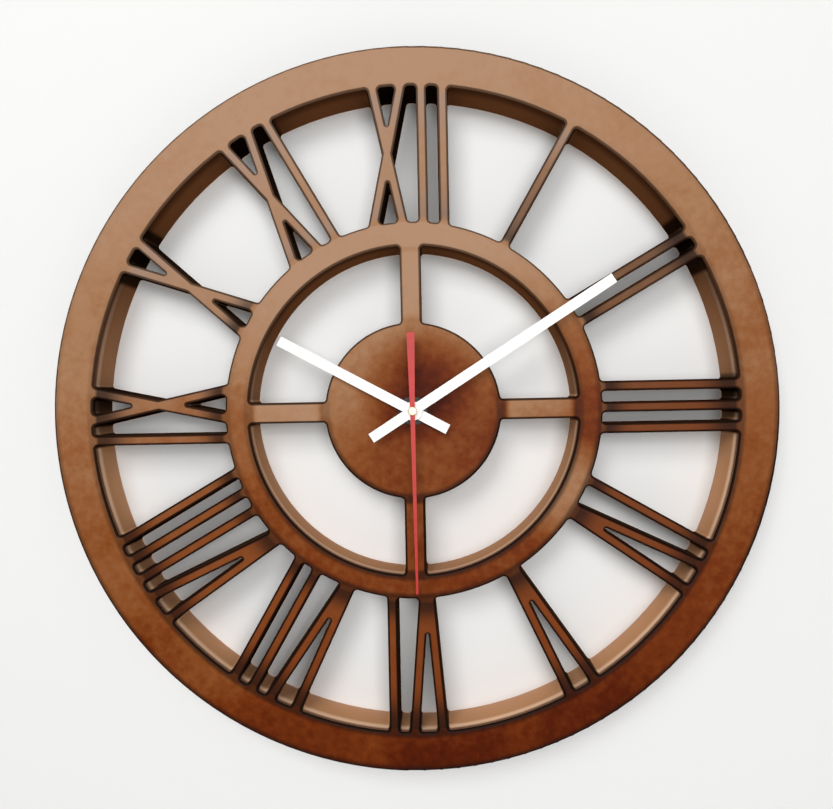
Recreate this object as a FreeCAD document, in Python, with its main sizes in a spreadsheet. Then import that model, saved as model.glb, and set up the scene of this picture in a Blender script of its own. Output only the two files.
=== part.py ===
import FreeCAD, Part
import Sketcher
import math
import os
from types import SimpleNamespace

# A round wall clock: one thick stained board cut through to leave a rim, twelve standing
# Roman numerals, a middle ring, four spokes and a hub. A quartz movement sits in a recess
# behind the hub and turns three hands.
#
# Every piece is drawn in the dial's own frame: X to the right, Y up towards twelve, Z from the
# wall plane towards the viewer, on the hands' axis. The last placement stands the dial up:
# +Z up, the wall at Y = 0 with the clock in front of it, and the origin where the wall's nail
# carries the hanger.

doc = FreeCAD.newDocument("wall_clock")
Vector = FreeCAD.Vector
Placement = FreeCAD.Placement
Rotation = FreeCAD.Rotation

# Driving dimensions in millimetres
DRIVING = {
    # dial board
    "web_thickness": 6.0,
    "hub_wall": 8.3,
    "spoke_length": 43.0,
    "spoke_width": 11.5,
    "ring_width": 13.3,
    "numeral_length": 75.4,
    "rim_width": 22.0,
    "edge_round": 1.6,
    "joint_corner": 2.0,
    "crotch_corner": 0.6,
    # numerals
    "stroke_width": 5.6,
    "bar_pitch": 11.8,
    "letter_pitch": 19.5,
    "letter_half_spread": 8.0,
    "vertex_half_spread": 1.7,
    "drift_five": 1.5,
    "drift_seven": 4.0,
    "drift_eight": 4.0,
    "drift_eleven": 1.0,
    # movement recess
    "recess_clearance": 1.0,
    "wall_clearance": 0.2,
    "shaft_hole_clearance": 0.3,
    # movement case
    "case_wall": 1.2,
    "case_corner": 3.0,
    "bay_wall": 0.6,
    "bay_room": 0.2,
    "bushing_radius": 4.0,
    "bushing_above_nut": 0.6,
    "running_clearance": 0.05,
    "press_clearance": 0.02,
    # cell and contacts
    "cell_radius": 7.2,
    "cell_length": 49.5,
    "cell_nub_radius": 2.75,
    "cell_nub_length": 1.0,
    "cell_room": 0.4,
    "contact_thickness": 0.4,
    "contact_reach": 1.15,
    "contact_width": 9.0,
    # shafts
    "seconds_arbor_radius": 0.5,
    "minute_tube_radius": 1.75,
    "hour_pipe_radius": 2.55,
    "arbor_radius": 0.6,
    "pivot_radius": 0.4,
    "pivot_depth": 0.6,
    "setting_arbor_radius": 1.1,
    # gear train
    "train_module": 0.3,
    "centre_module": 0.34,
    "cannon_wall": 0.17,
    "wheel_thickness": 0.9,
    "pinion_overhang": 0.2,
    "layer_gap": 0.3,
    "bridge_thickness": 0.6,
    "rotor_radius": 3.0,
    "rotor_length": 1.8,
    "stator_thickness": 1.0,
    "stator_rim": 1.0,
    "rotor_gap": 0.5,
    "coil_radius": 1.9,
    "coil_length": 13.0,
    "coil_inset": 4.5,
    "coil_gap": 0.1,
    "core_width": 1.6,
    "plate_margin": 1.0,
    "circuit_gap": 2.7,
    "circuit_height": 6.0,
    "circuit_thickness": 0.8,
    "crystal_radius": 1.0,
    "crystal_length": 6.0,
    "crystal_lead_radius": 0.2,
    "crystal_lead_length": 1.5,
    "post_radius": 1.0,
    # fastening at the dial
    "rubber_washer_radius": 7.5,
    "rubber_washer_thickness": 1.0,
    "washer_radius": 8.0,
    "washer_thickness": 0.5,
    "nut_across_flats": 11.0,
    "nut_thickness": 2.2,
    "thread_clearance": 0.05,
    # setting knob
    "knob_radius": 6.0,
    "knob_thickness": 1.4,
    "knob_gap": 0.3,
    # hands
    "hand_thickness": 0.5,
    "hand_width": 5.6,
    "hand_boss_radius": 5.2,
    "bushing_gap": 0.2,
    "hand_gap": 0.3,
    "shaft_end": 0.2,
    "hour_hand_length": 83.6,
    "hour_hand_tail": 21.9,
    "minute_hand_length": 131.6,
    "minute_hand_tail": 27.3,
    "second_hand_length": 100.4,
    "second_hand_tail": 43.0,
    "second_tip_width": 1.2,
    "second_waist_width": 2.6,
    "second_tail_width": 4.4,
    "collet_wall": 1.0,
    "collet_length": 0.9,
    "cap_radius": 2.4,
    "cap_height": 1.2,
    # hanger
    "strip_seat": 9.5,
    "strip_height": 8.0,
    "strip_thickness": 0.8,
    "strip_tooth": 1.0,
    "strip_room": 0.5,
    "nail_inset": 4.0,
    "nail_radius": 1.0,
    "nail_length": 11.0,
    "nail_head_radius": 2.2,
    "nail_head_thickness": 0.8,
    "nail_room_width": 26.0,
    "nail_room_depth": 7.0,
    "rim_margin": 3.6,
    # past a face, where a cut leaves the wood
    "overrun": 1.0,
}

sheet = doc.addObject("Spreadsheet::Sheet", "Sizes")
for row, (name, number) in enumerate(DRIVING.items(), start=1):
    sheet.set(f"A{row}", name)
    sheet.set(f"B{row}", str(number))
    sheet.setAlias(f"B{row}", name)
doc.recompute()


class Size:
    """A length of the sheet, or a sum of such lengths, as formula text and as a number."""

    def __init__(self, text, number):
        self.text = text
        self.number = number

    def joined(self, sign, other, number):
        return Size(f"({self.text} {sign} {as_size(other).text})", number)

    def __add__(self, other):
        return self.joined("+", other, self.number + as_size(other).number)

    def __sub__(self, other):
        return self.joined("-", other, self.number - as_size(other).number)

    def __mul__(self, other):
        return self.joined("*", other, self.number * as_size(other).number)

    def __truediv__(self, other):
        return self.joined("/", other, self.number / as_size(other).number)

    def __neg__(self):
        return Size(f"(0 - {self.text})", -self.number)


def as_size(given):
    """Let a plain count or share stand in a sum of sizes."""
    return given if isinstance(given, Size) else Size(f"{given:.9f}", float(given))


def largest(*lengths):
    """The largest of several sizes."""
    sizes = [as_size(length) for length in lengths]
    return Size(f"max({'; '.join(each.text for each in sizes)})", max(each.number for each in sizes))


size = SimpleNamespace(**{name: Size(f"Sizes.{name}", float(sheet.get(name))) for name in DRIVING})
zero = as_size(0)


# Counts of teeth
ROTOR_TEETH = 8
INTERMEDIATE_TEETH = 48
INTERMEDIATE_PINION = 10
SECONDS_TEETH = 50
SECONDS_PINION = 8
THIRD_TEETH = 64
THIRD_PINION = 8
CENTRE_TEETH = 60
CANNON_TEETH = 12
MOTION_TEETH = 36
MOTION_PINION = 10
HOUR_TEETH = 40
SETTING_TEETH = 12

# Tooth form, as shares of the module and of the tooth pitch
ADDENDUM_SHARE = 0.85
DEDENDUM_SHARE = 1.2
TIP_SHARE = 0.2
ROOT_SHARE = 0.58

# Directions from each axis to the next, anticlockwise from the three o'clock side
INTERMEDIATE_DIRECTION = 30.0
ROTOR_DIRECTION = 60.0
THIRD_DIRECTION = 150.0
MOTION_DIRECTION = 90.0
SETTING_DIRECTION = 90.0

# Where each hand points, in degrees clockwise from twelve
HOUR_HAND_ANGLE = 298.7
MINUTE_HAND_ANGLE = 57.6
SECOND_HAND_ANGLE = 179.6

NUMERALS = ["I", "II", "III", "IV", "V", "VI", "VII", "VIII", "IX", "X", "XI", "XII"]
HOUR_ANGLE = 30.0
SPOKE_HOURS = [3, 6, 9, 12]
STRIP_TEETH = 7
NUT_SIDES = 6

# An opening sharper than this gets the small corner
NARROW_ANGLE = 60.0
# The largest corner, as a share of the gap between two strokes
CORNER_SHARE = 0.38
# A short step along an edge, as a share of the edge
STEP_SHARE = 0.001
# How near two places are when they count as one
SAME_PLACE = 1e-5


# Places of the arbors

def centre_distance(module, first_teeth, second_teeth):
    """Distance between the axes of two wheels in mesh."""
    return module * (first_teeth + second_teeth) / 2


def tip_radius(module, teeth):
    """Radius over the tips of a wheel's teeth."""
    return module * (teeth / 2 + ADDENDUM_SHARE)


def stepped(origin, distance, direction):
    """The place a distance away from another in a direction."""
    angle = math.radians(direction)
    return (origin[0] + distance * math.cos(angle), origin[1] + distance * math.sin(angle))


# The cannon pinion's teeth stand on a wall round the minute arbor
motion_module = (size.minute_tube_radius + size.cannon_wall) / (CANNON_TEETH / 2 - DEDENDUM_SHARE)
third_distance = centre_distance(size.centre_module, THIRD_PINION, CENTRE_TEETH)
motion_distance = centre_distance(motion_module, CANNON_TEETH, MOTION_TEETH)
third_module = third_distance * 2 / (SECONDS_PINION + THIRD_TEETH)
hour_module = motion_distance * 2 / (MOTION_PINION + HOUR_TEETH)
intermediate_distance = centre_distance(size.train_module, SECONDS_TEETH, INTERMEDIATE_PINION)
rotor_distance = centre_distance(size.train_module, INTERMEDIATE_TEETH, ROTOR_TEETH)
setting_distance = centre_distance(motion_module, MOTION_TEETH, SETTING_TEETH)

centre = (zero, zero)
intermediate_axis = stepped(centre, intermediate_distance, INTERMEDIATE_DIRECTION)
rotor_axis = stepped(intermediate_axis, rotor_distance, ROTOR_DIRECTION)
third_axis = stepped(centre, third_distance, THIRD_DIRECTION)
motion_axis = stepped(centre, motion_distance, MOTION_DIRECTION)
setting_axis = stepped(motion_axis, setting_distance, SETTING_DIRECTION)

# Heights above the wall plane, from the knob at the back to the board's front face
pinion_length = size.wheel_thickness + size.pinion_overhang * 2
layer_step = pinion_length + size.layer_gap
post_height = size.coil_radius - size.stator_thickness / 2 + size.coil_gap
knob_start = size.wall_clearance
case_back = knob_start + size.knob_thickness + size.knob_gap
cover_inside = case_back + size.case_wall
stator_start = cover_inside + post_height
rotor_start = stator_start + size.stator_thickness / 2 - size.rotor_length / 2
first_layer = rotor_start + size.rotor_length + size.layer_gap
second_layer = first_layer + layer_step
bridge_start = second_layer + layer_step
third_layer = bridge_start + size.bridge_thickness + size.layer_gap
centre_layer = third_layer + layer_step
cannon_layer = centre_layer + layer_step
hour_layer = cannon_layer + layer_step
wall_inside = largest(hour_layer + layer_step, case_back + size.cell_radius * 2 + size.cell_room)
case_front = wall_inside + size.case_wall
recess_depth = case_front + size.rubber_washer_thickness
board_thickness = recess_depth + size.web_thickness

# Heights in front of the board, along the shafts
nut_start = board_thickness + size.washer_thickness
bushing_end = nut_start + size.nut_thickness + size.bushing_above_nut
hour_plate = bushing_end + size.bushing_gap + size.collet_length
hand_step = size.hand_thickness + size.shaft_end + size.hand_gap + size.collet_length
minute_plate = hour_plate + hand_step
second_plate = minute_plate + hand_step

# The motor's iron round the rotor, and the foot that closes it below the coil
stator_width = (size.rotor_radius + size.rotor_gap + size.stator_rim) * 2
stator_low = rotor_axis[1] - stator_width / 2
stator_high = rotor_axis[1] + stator_width / 2
coil_top = stator_low - size.layer_gap
yoke_middle = coil_top - size.coil_length - size.layer_gap - size.core_width / 2

# The room inside the case, from its middle to each side: the most that any row of contents needs
bay_height = size.cell_radius * 2 + size.bay_room * 2
cell_total = size.cell_length + size.cell_nub_length
lowest_wheel = largest(tip_radius(size.centre_module, CENTRE_TEETH), size.core_width / 2 - yoke_middle)
intermediate_reach = intermediate_axis[0] + tip_radius(size.train_module, INTERMEDIATE_TEETH)
room_half = largest(
    cell_total / 2 + size.contact_reach + size.contact_thickness,
    lowest_wheel + size.layer_gap + size.bay_wall + bay_height,
    tip_radius(third_module, THIRD_TEETH) - third_axis[0] + size.layer_gap,
    setting_axis[1] + size.knob_radius,
    stator_high + size.layer_gap + size.circuit_height + size.plate_margin,
    intermediate_reach + size.layer_gap + size.coil_radius + size.coil_inset,
)
case_half = room_half + size.case_wall
bushing_bore = size.hour_pipe_radius + size.running_clearance

# The cell's bay at the foot of the movement, and the room for the wheels above it
bay_centre = -(room_half - bay_height / 2)
train_floor = -(room_half - bay_height - size.bay_wall)
train_height = room_half - train_floor
train_centre = train_floor + train_height / 2

# Radii of the dial, from the recess in the hub out to the rim
recess_half = case_half + size.recess_clearance
hub_radius = recess_half * math.sqrt(2) + size.hub_wall
ring_inner = hub_radius + size.spoke_length
ring_outer = ring_inner + size.ring_width
rim_inner = ring_outer + size.numeral_length
rim_outer = rim_inner + size.rim_width

# Up the dial to the hanger
strip_length = size.nail_room_width + size.strip_seat * 2
strip_top = rim_outer - size.rim_margin - size.strip_room
strip_bottom = strip_top - size.strip_height
hanging_height = strip_bottom + size.strip_tooth

DIAL = Placement(Vector(0, 0, -hanging_height.number), Rotation(Vector(1, 0, 0), 90))
nodes = []


def keep(piece, label, x=0.0, y=0.0, turn=0.0):
    """Give a finished sub-part its name and its place in the standing clock."""
    piece.Label = label
    own = Placement(Vector(x, y, 0), Rotation(Vector(0, 0, 1), turn))
    piece.Placement = DIAL.multiply(own)
    nodes.append(piece)
    return piece


def bind(thing, prop, length):
    """Tie one property to the sheet."""
    thing.setExpression(prop, as_size(length).text)


# Plain solids tied to the sheet

LYING = {"x": Rotation(Vector(0, 1, 0), 90), "y": Rotation(Vector(1, 0, 0), -90), "z": Rotation()}


def cylinder(name, radius, length, start=zero, x=zero, y=zero, along="z"):
    """A round solid from a place and a height, along one of the axes."""
    round_bar = doc.addObject("Part::Cylinder", name)
    round_bar.Placement = Placement(Vector(), LYING[along])
    bind(round_bar, "Radius", radius)
    bind(round_bar, "Height", length)
    for axis, place in (("x", x), ("y", y), ("z", start)):
        bind(round_bar, f"Placement.Base.{axis}", place)
    return round_bar


def block(name, width, height, depth, x, y, start):
    """A box centred on x and y, from start towards the viewer."""
    box = doc.addObject("Part::Box", name)
    bind(box, "Length", width)
    bind(box, "Width", height)
    bind(box, "Height", depth)
    bind(box, "Placement.Base.x", as_size(x) - as_size(width) / 2)
    bind(box, "Placement.Base.y", as_size(y) - as_size(height) / 2)
    bind(box, "Placement.Base.z", start)
    return box


def cut(name, base, tool):
    """One solid less another."""
    result = doc.addObject("Part::Cut", name)
    result.Base = base
    result.Tool = tool
    return result


def fuse(name, pieces):
    """Several solids grown into one."""
    result = doc.addObject("Part::MultiFuse", name)
    result.Shapes = pieces
    return result


def washer(label, outer, inner, thickness, start):
    """A flat ring."""
    disc = cylinder(f"{label}_disc", outer, thickness, start)
    hole = cylinder(f"{label}_hole", inner, thickness + size.overrun * 2, start - size.overrun)
    return keep(cut(f"{label}_ring", disc, hole), label)


# Sketched bodies

def new_body(name):
    """An empty body."""
    return doc.addObject("PartDesign::Body", name)


def new_sketch(body, name, start):
    """A sketch facing the viewer, at a height above the wall plane."""
    plane = next(f for f in body.Origin.OriginFeatures if f.Role == "XY_Plane")
    drawing = body.newObject("Sketcher::SketchObject", name)
    drawing.AttachmentSupport = [(plane, "")]
    drawing.MapMode = "FlatFace"
    bind(drawing, "AttachmentOffset.Base.z", start)
    return drawing


def drive(drawing, kind, where, length):
    """One dimension of a sketch, tied to the sheet."""
    length = as_size(length)
    index = drawing.addConstraint(Sketcher.Constraint(kind, *where, length.number))
    drawing.setExpression(f"Constraints[{index}]", length.text)


def draw_outline(drawing, corners):
    """A closed outline of straight sides with every corner placed from the origin."""
    first = drawing.GeometryCount
    count = len(corners)
    points = [Vector(as_size(x).number, as_size(y).number, 0) for x, y in corners]
    for k in range(count):
        drawing.addGeometry(Part.LineSegment(points[k], points[(k + 1) % count]), False)
    for k in range(count):
        following = first + (k + 1) % count
        drawing.addConstraint(Sketcher.Constraint("Coincident", first + k, 2, following, 1))
    for k, (x, y) in enumerate(corners):
        drive(drawing, "DistanceX", (-1, 1, first + k, 1), x)
        drive(drawing, "DistanceY", (-1, 1, first + k, 1), y)


def draw_rectangle(drawing, width, height, x=zero, y=zero):
    """A rectangle centred on x and y."""
    left = as_size(x) - as_size(width) / 2
    right = as_size(x) + as_size(width) / 2
    low = as_size(y) - as_size(height) / 2
    high = as_size(y) + as_size(height) / 2
    draw_outline(drawing, [(left, low), (right, low), (right, high), (left, high)])


def draw_circle(drawing, radius, x=zero, y=zero):
    """A circle centred on x and y."""
    index = drawing.GeometryCount
    middle = Vector(as_size(x).number, as_size(y).number, 0)
    drawing.addGeometry(Part.Circle(middle, Vector(0, 0, 1), as_size(radius).number), False)
    drive(drawing, "DistanceX", (-1, 1, index, 3), x)
    drive(drawing, "DistanceY", (-1, 1, index, 3), y)
    drive(drawing, "Radius", (index,), radius)


def pad(body, drawing, length, away=False):
    """Thicken a sketch towards the viewer, or towards the wall when away."""
    feature = body.newObject("PartDesign::Pad", f"{drawing.Name}_pad")
    feature.Profile = drawing
    feature.Reversed = away
    bind(feature, "Length", length)
    doc.recompute()
    return feature


def pocket(body, drawing, depth, towards_viewer=True):
    """Cut a sketch into the body, and make sure that it removed something."""
    before = body.Shape.Volume
    feature = body.newObject("PartDesign::Pocket", f"{drawing.Name}_pocket")
    feature.Profile = drawing
    feature.Reversed = towards_viewer
    bind(feature, "Length", depth)
    doc.recompute()
    if body.Shape.Volume >= before:
        raise RuntimeError(f"{feature.Name} cut nothing")
    return feature


def upright_edges(shape, length, half_side):
    """Names of the edges along Z at a square's four outer corners."""
    names = []
    for index, edge in enumerate(shape.Edges, start=1):
        ends = [vertex.Point for vertex in edge.Vertexes]
        if len(ends) == 2 and math.isclose(abs(ends[0].z - ends[1].z), length, abs_tol=SAME_PLACE):
            if min(abs(ends[0].x), abs(ends[0].y)) > half_side - SAME_PLACE:
                names.append(f"Edge{index}")
    return names


def round_square(body, name, start, length):
    """The outer block of the movement's case or cover, with its corners rounded."""
    drawing = new_sketch(body, name, start)
    draw_rectangle(drawing, case_half * 2, case_half * 2)
    blank = pad(body, drawing, length)
    corners = body.newObject("PartDesign::Fillet", f"{name}_corners")
    corners.Base = (blank, upright_edges(blank.Shape, as_size(length).number, case_half.number))
    bind(corners, "Radius", size.case_corner)
    doc.recompute()


def drilled(body, name, start, depth, radius, places, towards_viewer=True):
    """Round holes of one radius at several places."""
    drawing = new_sketch(body, name, start)
    for x, y in places:
        draw_circle(drawing, radius, x, y)
    pocket(body, drawing, depth, towards_viewer)


# The dial board

def bar(radius, start, length, x=0.0, y=0.0):
    """A round solid along Z."""
    return Part.makeCylinder(radius, length, Vector(x, y, start))


def tube(outer, inner, start, length):
    """A round solid with a bore right through."""
    return bar(outer, start, length).cut(bar(inner, start - length, length * 3))


def slab(width, height, depth, low):
    """A box centred across the dial, from the height low upwards, cut in from the wall plane."""
    overrun = size.overrun.number
    return Part.makeBox(width, height, depth + overrun, Vector(-width / 2, low, -overrun))


def radial_prism(hour, inner_radius, inner_place, outer_radius, outer_place, width, depth):
    """A straight member of even width that runs outward between two radii near an hour."""
    angle = math.radians(hour * HOUR_ANGLE)
    outward = Vector(math.sin(angle), math.cos(angle), 0)
    clockwise = Vector(math.cos(angle), -math.sin(angle), 0)
    slope = (outer_place - inner_place) / (outer_radius - inner_radius)
    half = width / 2 * math.hypot(1, slope)
    corners = []
    for radius, place, side in (
        (inner_radius, inner_place, -half),
        (outer_radius, outer_place, -half),
        (outer_radius, outer_place, half),
        (inner_radius, inner_place, half),
    ):
        corners.append(outward * radius + clockwise * (place + side))
    return Part.Face(Part.makePolygon(corners + corners[:1])).extrude(Vector(0, 0, depth))


def letter_places(numeral):
    """Each letter's axis, counted clockwise, with the numeral centred on its hour."""
    places = [0.0]
    for before, after in zip(numeral, numeral[1:]):
        both_bars = before == "I" and after == "I"
        step = size.bar_pitch if both_bars else size.letter_pitch
        places.append(places[-1] + step.number)
    spread = size.letter_half_spread.number
    low = places[0] - (0 if numeral[0] == "I" else spread)
    high = places[-1] + (0 if numeral[-1] == "I" else spread)
    return [(letter, place - (low + high) / 2) for letter, place in zip(numeral, places)]


def letter_strokes(letter, place):
    """Each stroke of a letter as its place at the ring and its place at the rim."""
    spread = size.letter_half_spread.number
    vertex = size.vertex_half_spread.number
    if letter == "I":
        return [(place, place)]
    if letter == "V":
        return [(place - vertex, place - spread), (place + vertex, place + spread)]
    return [(place + spread, place - spread), (place - spread, place + spread)]


def numeral_strokes(hour):
    """The strokes of one hour's numeral, sunk half way into the ring and the rim."""
    drift = {5: size.drift_five, 7: size.drift_seven, 8: size.drift_eight, 11: size.drift_eleven}
    ring_edge = ring_outer.number
    length = size.numeral_length.number
    sink = size.ring_width.number / 2
    prisms = []
    for letter, place in letter_places(NUMERALS[hour - 1]):
        place -= drift.get(hour, zero).number
        for at_ring, at_rim in letter_strokes(letter, place):
            lean = (at_rim - at_ring) / length * sink
            prisms.append(radial_prism(
                hour, ring_edge - sink, at_ring - lean, ring_edge + length + sink, at_rim + lean,
                size.stroke_width.number, board_thickness.number))
    return prisms


def beside(edge, corner):
    """The direction in which an edge leaves one of its ends."""
    first, last = edge.FirstParameter, edge.LastParameter
    step = (last - first) * STEP_SHARE
    if edge.valueAt(first).distanceToPoint(corner) < edge.valueAt(last).distanceToPoint(corner):
        return (edge.valueAt(first + step) - corner).normalize()
    return (edge.valueAt(last - step) - corner).normalize()


def opening_corners(face):
    """The corners where an opening narrows to a point, each with the opening's angle there."""
    found = []
    for wire in face.Wires:
        for vertex in wire.Vertexes:
            corner = vertex.Point
            sides = []
            for edge in wire.Edges:
                if any(end.Point.isEqual(corner, SAME_PLACE) for end in edge.Vertexes):
                    sides.append(edge)
            if len(sides) != 2:
                continue
            ways = [beside(edge, corner) for edge in sides]
            middle = (ways[0] + ways[1]).normalize()
            if not face.isInside(corner + middle * size.crotch_corner.number / 4, SAME_PLACE, True):
                found.append((corner, math.degrees(ways[0].getAngle(ways[1]))))
    return found


def round_uprights(solid, corners, radius, depth):
    """Round the edges along Z that stand on the given corners."""
    chosen = []
    for edge in solid.Edges:
        ends = [vertex.Point for vertex in edge.Vertexes]
        if len(ends) != 2 or not math.isclose(abs(ends[0].z - ends[1].z), depth, abs_tol=SAME_PLACE):
            continue
        if any(math.hypot(ends[0].x - c.x, ends[0].y - c.y) < SAME_PLACE for c in corners):
            chosen.append(edge)
    return solid.makeFillet(radius, chosen)


def face_at(solid, height):
    """The flat face at a height."""
    level = []
    for face in solid.Faces:
        away = max(abs(face.BoundBox.ZMin - height), abs(face.BoundBox.ZMax - height))
        if isinstance(face.Surface, Part.Plane) and away < SAME_PLACE:
            level.append(face)
    return max(level, key=lambda face: face.Area)


def joint_corner():
    """The corner between members, kept smaller than the gap between two strokes allows."""
    bar_gap = size.bar_pitch - size.stroke_width
    letter_gap = size.letter_pitch - size.letter_half_spread - size.stroke_width
    widest = min(bar_gap.number, letter_gap.number) * CORNER_SHARE
    return min(size.joint_corner.number, widest)


def make_board():
    """The whole board with its numerals, ring, spokes and hub, corners and front edges rounded."""
    depth = board_thickness.number
    members = [
        tube(rim_outer.number, rim_inner.number, 0, depth),
        tube(ring_outer.number, ring_inner.number, 0, depth),
        bar(hub_radius.number, 0, depth),
    ]
    sink = size.ring_width.number / 2
    for hour in SPOKE_HOURS:
        members.append(radial_prism(
            hour, hub_radius.number - sink, 0, ring_inner.number + sink, 0,
            size.spoke_width.number, depth))
    for hour in range(1, 13):
        members.extend(numeral_strokes(hour))
    board = members[0].multiFuse(members[1:]).removeSplitter()
    corners = opening_corners(face_at(board, depth))
    wide = [corner for corner, angle in corners if angle > NARROW_ANGLE]
    narrow = [corner for corner, angle in corners if angle <= NARROW_ANGLE]
    board = round_uprights(board, wide, joint_corner(), depth)
    board = round_uprights(board, narrow, size.crotch_corner.number, depth)
    front = face_at(board, depth)
    return board.makeFillet(size.edge_round.number, front.Edges)


nail_reach = strip_length / 2 - size.nail_inset
nail_height = strip_bottom + size.strip_height / 2
nail_places = [(-nail_reach, nail_height), (nail_reach, nail_height)]


def hanger_pockets():
    """What is cut from the rim's back for the hanger: the strip's seat, nail room and nail holes."""
    seat_width = (strip_length + size.strip_room * 2).number
    seat_height = (size.strip_height + size.strip_room * 2).number
    seat_depth = (size.strip_thickness + size.nail_head_thickness).number
    room_height = (size.rim_width - size.rim_margin * 2).number
    hole = (size.nail_radius + size.press_clearance).number
    hole_depth = (size.nail_head_thickness + size.nail_length).number
    pockets = [
        slab(seat_width, seat_height, seat_depth, (strip_bottom - size.strip_room).number),
        slab(size.nail_room_width.number, room_height, size.nail_room_depth.number,
             (rim_inner + size.rim_margin).number),
    ]
    for x, y in nail_places:
        pockets.append(bar(hole, 0, hole_depth, x.number, y.number))
    return pockets


def add_board_member(label, shape):
    """One member of the board as a sub-part."""
    member = doc.addObject("Part::Feature", label)
    member.Shape = shape
    return keep(member, label)


def clock_hour(solid):
    """The hour that a member of the board lies nearest to."""
    middle = solid.CenterOfMass
    hour = round(math.degrees(math.atan2(middle.x, middle.y)) / HOUR_ANGLE) % 12
    return hour or 12


def split_board():
    """Part the board into its members, which meet face to face just clear of the corners."""
    depth = board_thickness.number
    overrun = size.overrun.number
    corner = size.joint_corner.number

    def zone(radius):
        return bar(radius, -overrun, depth + overrun * 2)

    board = make_board()
    inside_rim = zone(rim_inner.number - corner)
    around_ring = zone(ring_outer.number + corner)
    inside_ring = zone(ring_inner.number - corner)
    around_hub = zone(hub_radius.number + corner)

    rim = board.cut(inside_rim)
    for pocket_shape in hanger_pockets():
        rim = rim.cut(pocket_shape)
    add_board_member("outer_rim", rim)
    add_board_member("middle_ring", board.common(around_ring).cut(inside_ring))

    recess = recess_half.number * 2
    hole = size.bushing_radius.number + size.shaft_hole_clearance.number
    hub = board.common(around_hub).cut(slab(recess, recess, recess_depth.number, -recess / 2))
    add_board_member("hub", hub.cut(bar(hole, 0, depth + overrun)))

    spokes = board.common(inside_ring).cut(around_hub)
    for solid in sorted(spokes.Solids, key=clock_hour):
        add_board_member(f"spoke_{clock_hour(solid)}", solid)

    strokes = board.common(inside_rim).cut(around_ring)
    for hour, numeral in enumerate(NUMERALS, start=1):
        own = [solid for solid in strokes.Solids if clock_hour(solid) == hour]
        shape = own[0] if len(own) == 1 else Part.makeCompound(own)
        add_board_member(f"numeral_{numeral.lower()}", shape)


# Hanger at the back of the rim

def make_hanger():
    """A toothed steel strip over the nail room, held by two nails."""
    half = strip_length.number / 2
    top = strip_top.number
    bottom = strip_bottom.number
    tooth = size.strip_tooth.number
    pitch = size.nail_room_width.number / (STRIP_TEETH + 1)
    outline = [(-half, top), (-half, bottom)]
    first = -pitch * STRIP_TEETH / 2
    for k in range(STRIP_TEETH):
        start = first + pitch * k
        outline += [(start, bottom), (start + pitch / 2, bottom + tooth)]
    outline += [(-first, bottom), (half, bottom), (half, top)]
    points = [Vector(x, y, size.nail_head_thickness.number) for x, y in outline]
    strip = Part.Face(Part.makePolygon(points + points[:1]))
    strip = strip.extrude(Vector(0, 0, size.strip_thickness.number))
    for x, y in nail_places:
        radius = (size.nail_radius + size.press_clearance).number
        length = (size.nail_head_thickness + size.nail_length).number
        strip = strip.cut(bar(radius, 0, length, x.number, y.number))
    piece = doc.addObject("Part::Feature", "hanger_strip")
    piece.Shape = strip
    keep(piece, "hanger_strip")

    nails = []
    for side, (x, y) in zip(("left", "right"), nail_places):
        head = cylinder(f"{side}_nail_head", size.nail_head_radius, size.nail_head_thickness, zero, x, y)
        shank = cylinder(
            f"{side}_nail_shank", size.nail_radius, size.nail_length, size.nail_head_thickness, x, y)
        nails.append(fuse(f"{side}_nail", [head, shank]))
    pair = doc.addObject("Part::Compound", "hanger_nails")
    pair.Links = nails
    keep(pair, "hanger_nails")


# Movement case

def make_case():
    """The case's front half: a tray with the cell's bay, a threaded bushing and a stud."""
    body = new_body("movement_case")
    length = case_front - cover_inside
    round_square(body, "case_block", cover_inside, length)
    rooms = new_sketch(body, "case_rooms", cover_inside)
    draw_rectangle(rooms, room_half * 2, bay_height, zero, bay_centre)
    draw_rectangle(rooms, room_half * 2, train_height, zero, train_centre)
    pocket(body, rooms, length - size.case_wall)
    bushing = new_sketch(body, "bushing", case_front)
    draw_circle(bushing, size.bushing_radius)
    pad(body, bushing, bushing_end - case_front)
    drilled(body, "bushing_bore", bushing_end, bushing_end - wall_inside, bushing_bore, [centre], False)
    drilled(body, "front_pivot_holes", wall_inside, size.pivot_depth,
            size.pivot_radius + size.running_clearance, [third_axis])
    stud = new_sketch(body, "motion_stud", wall_inside)
    draw_circle(stud, size.arbor_radius, *motion_axis)
    pad(body, stud, wall_inside - cannon_layer, away=True)
    keep(body, "movement_case")


def make_cover():
    """The case's back, open over the cell, with posts for the circuit and the stator."""
    body = new_body("movement_cover")
    round_square(body, "cover_block", case_back, size.case_wall)
    opening = new_sketch(body, "cell_opening", case_back)
    draw_rectangle(opening, room_half * 2, bay_height, zero, bay_centre)
    pocket(body, opening, size.case_wall)
    posts = new_sketch(body, "posts", cover_inside)
    for x, y in stator_posts + circuit_posts:
        draw_circle(posts, size.post_radius, x, y)
    pad(body, posts, post_height)
    drilled(body, "setting_hole", case_back, size.case_wall,
            size.setting_arbor_radius + size.running_clearance, [setting_axis])
    drilled(body, "back_pivot_holes", cover_inside, size.pivot_depth,
            size.pivot_radius + size.running_clearance,
            [centre, third_axis, intermediate_axis, rotor_axis], False)
    keep(body, "movement_cover")


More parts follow.
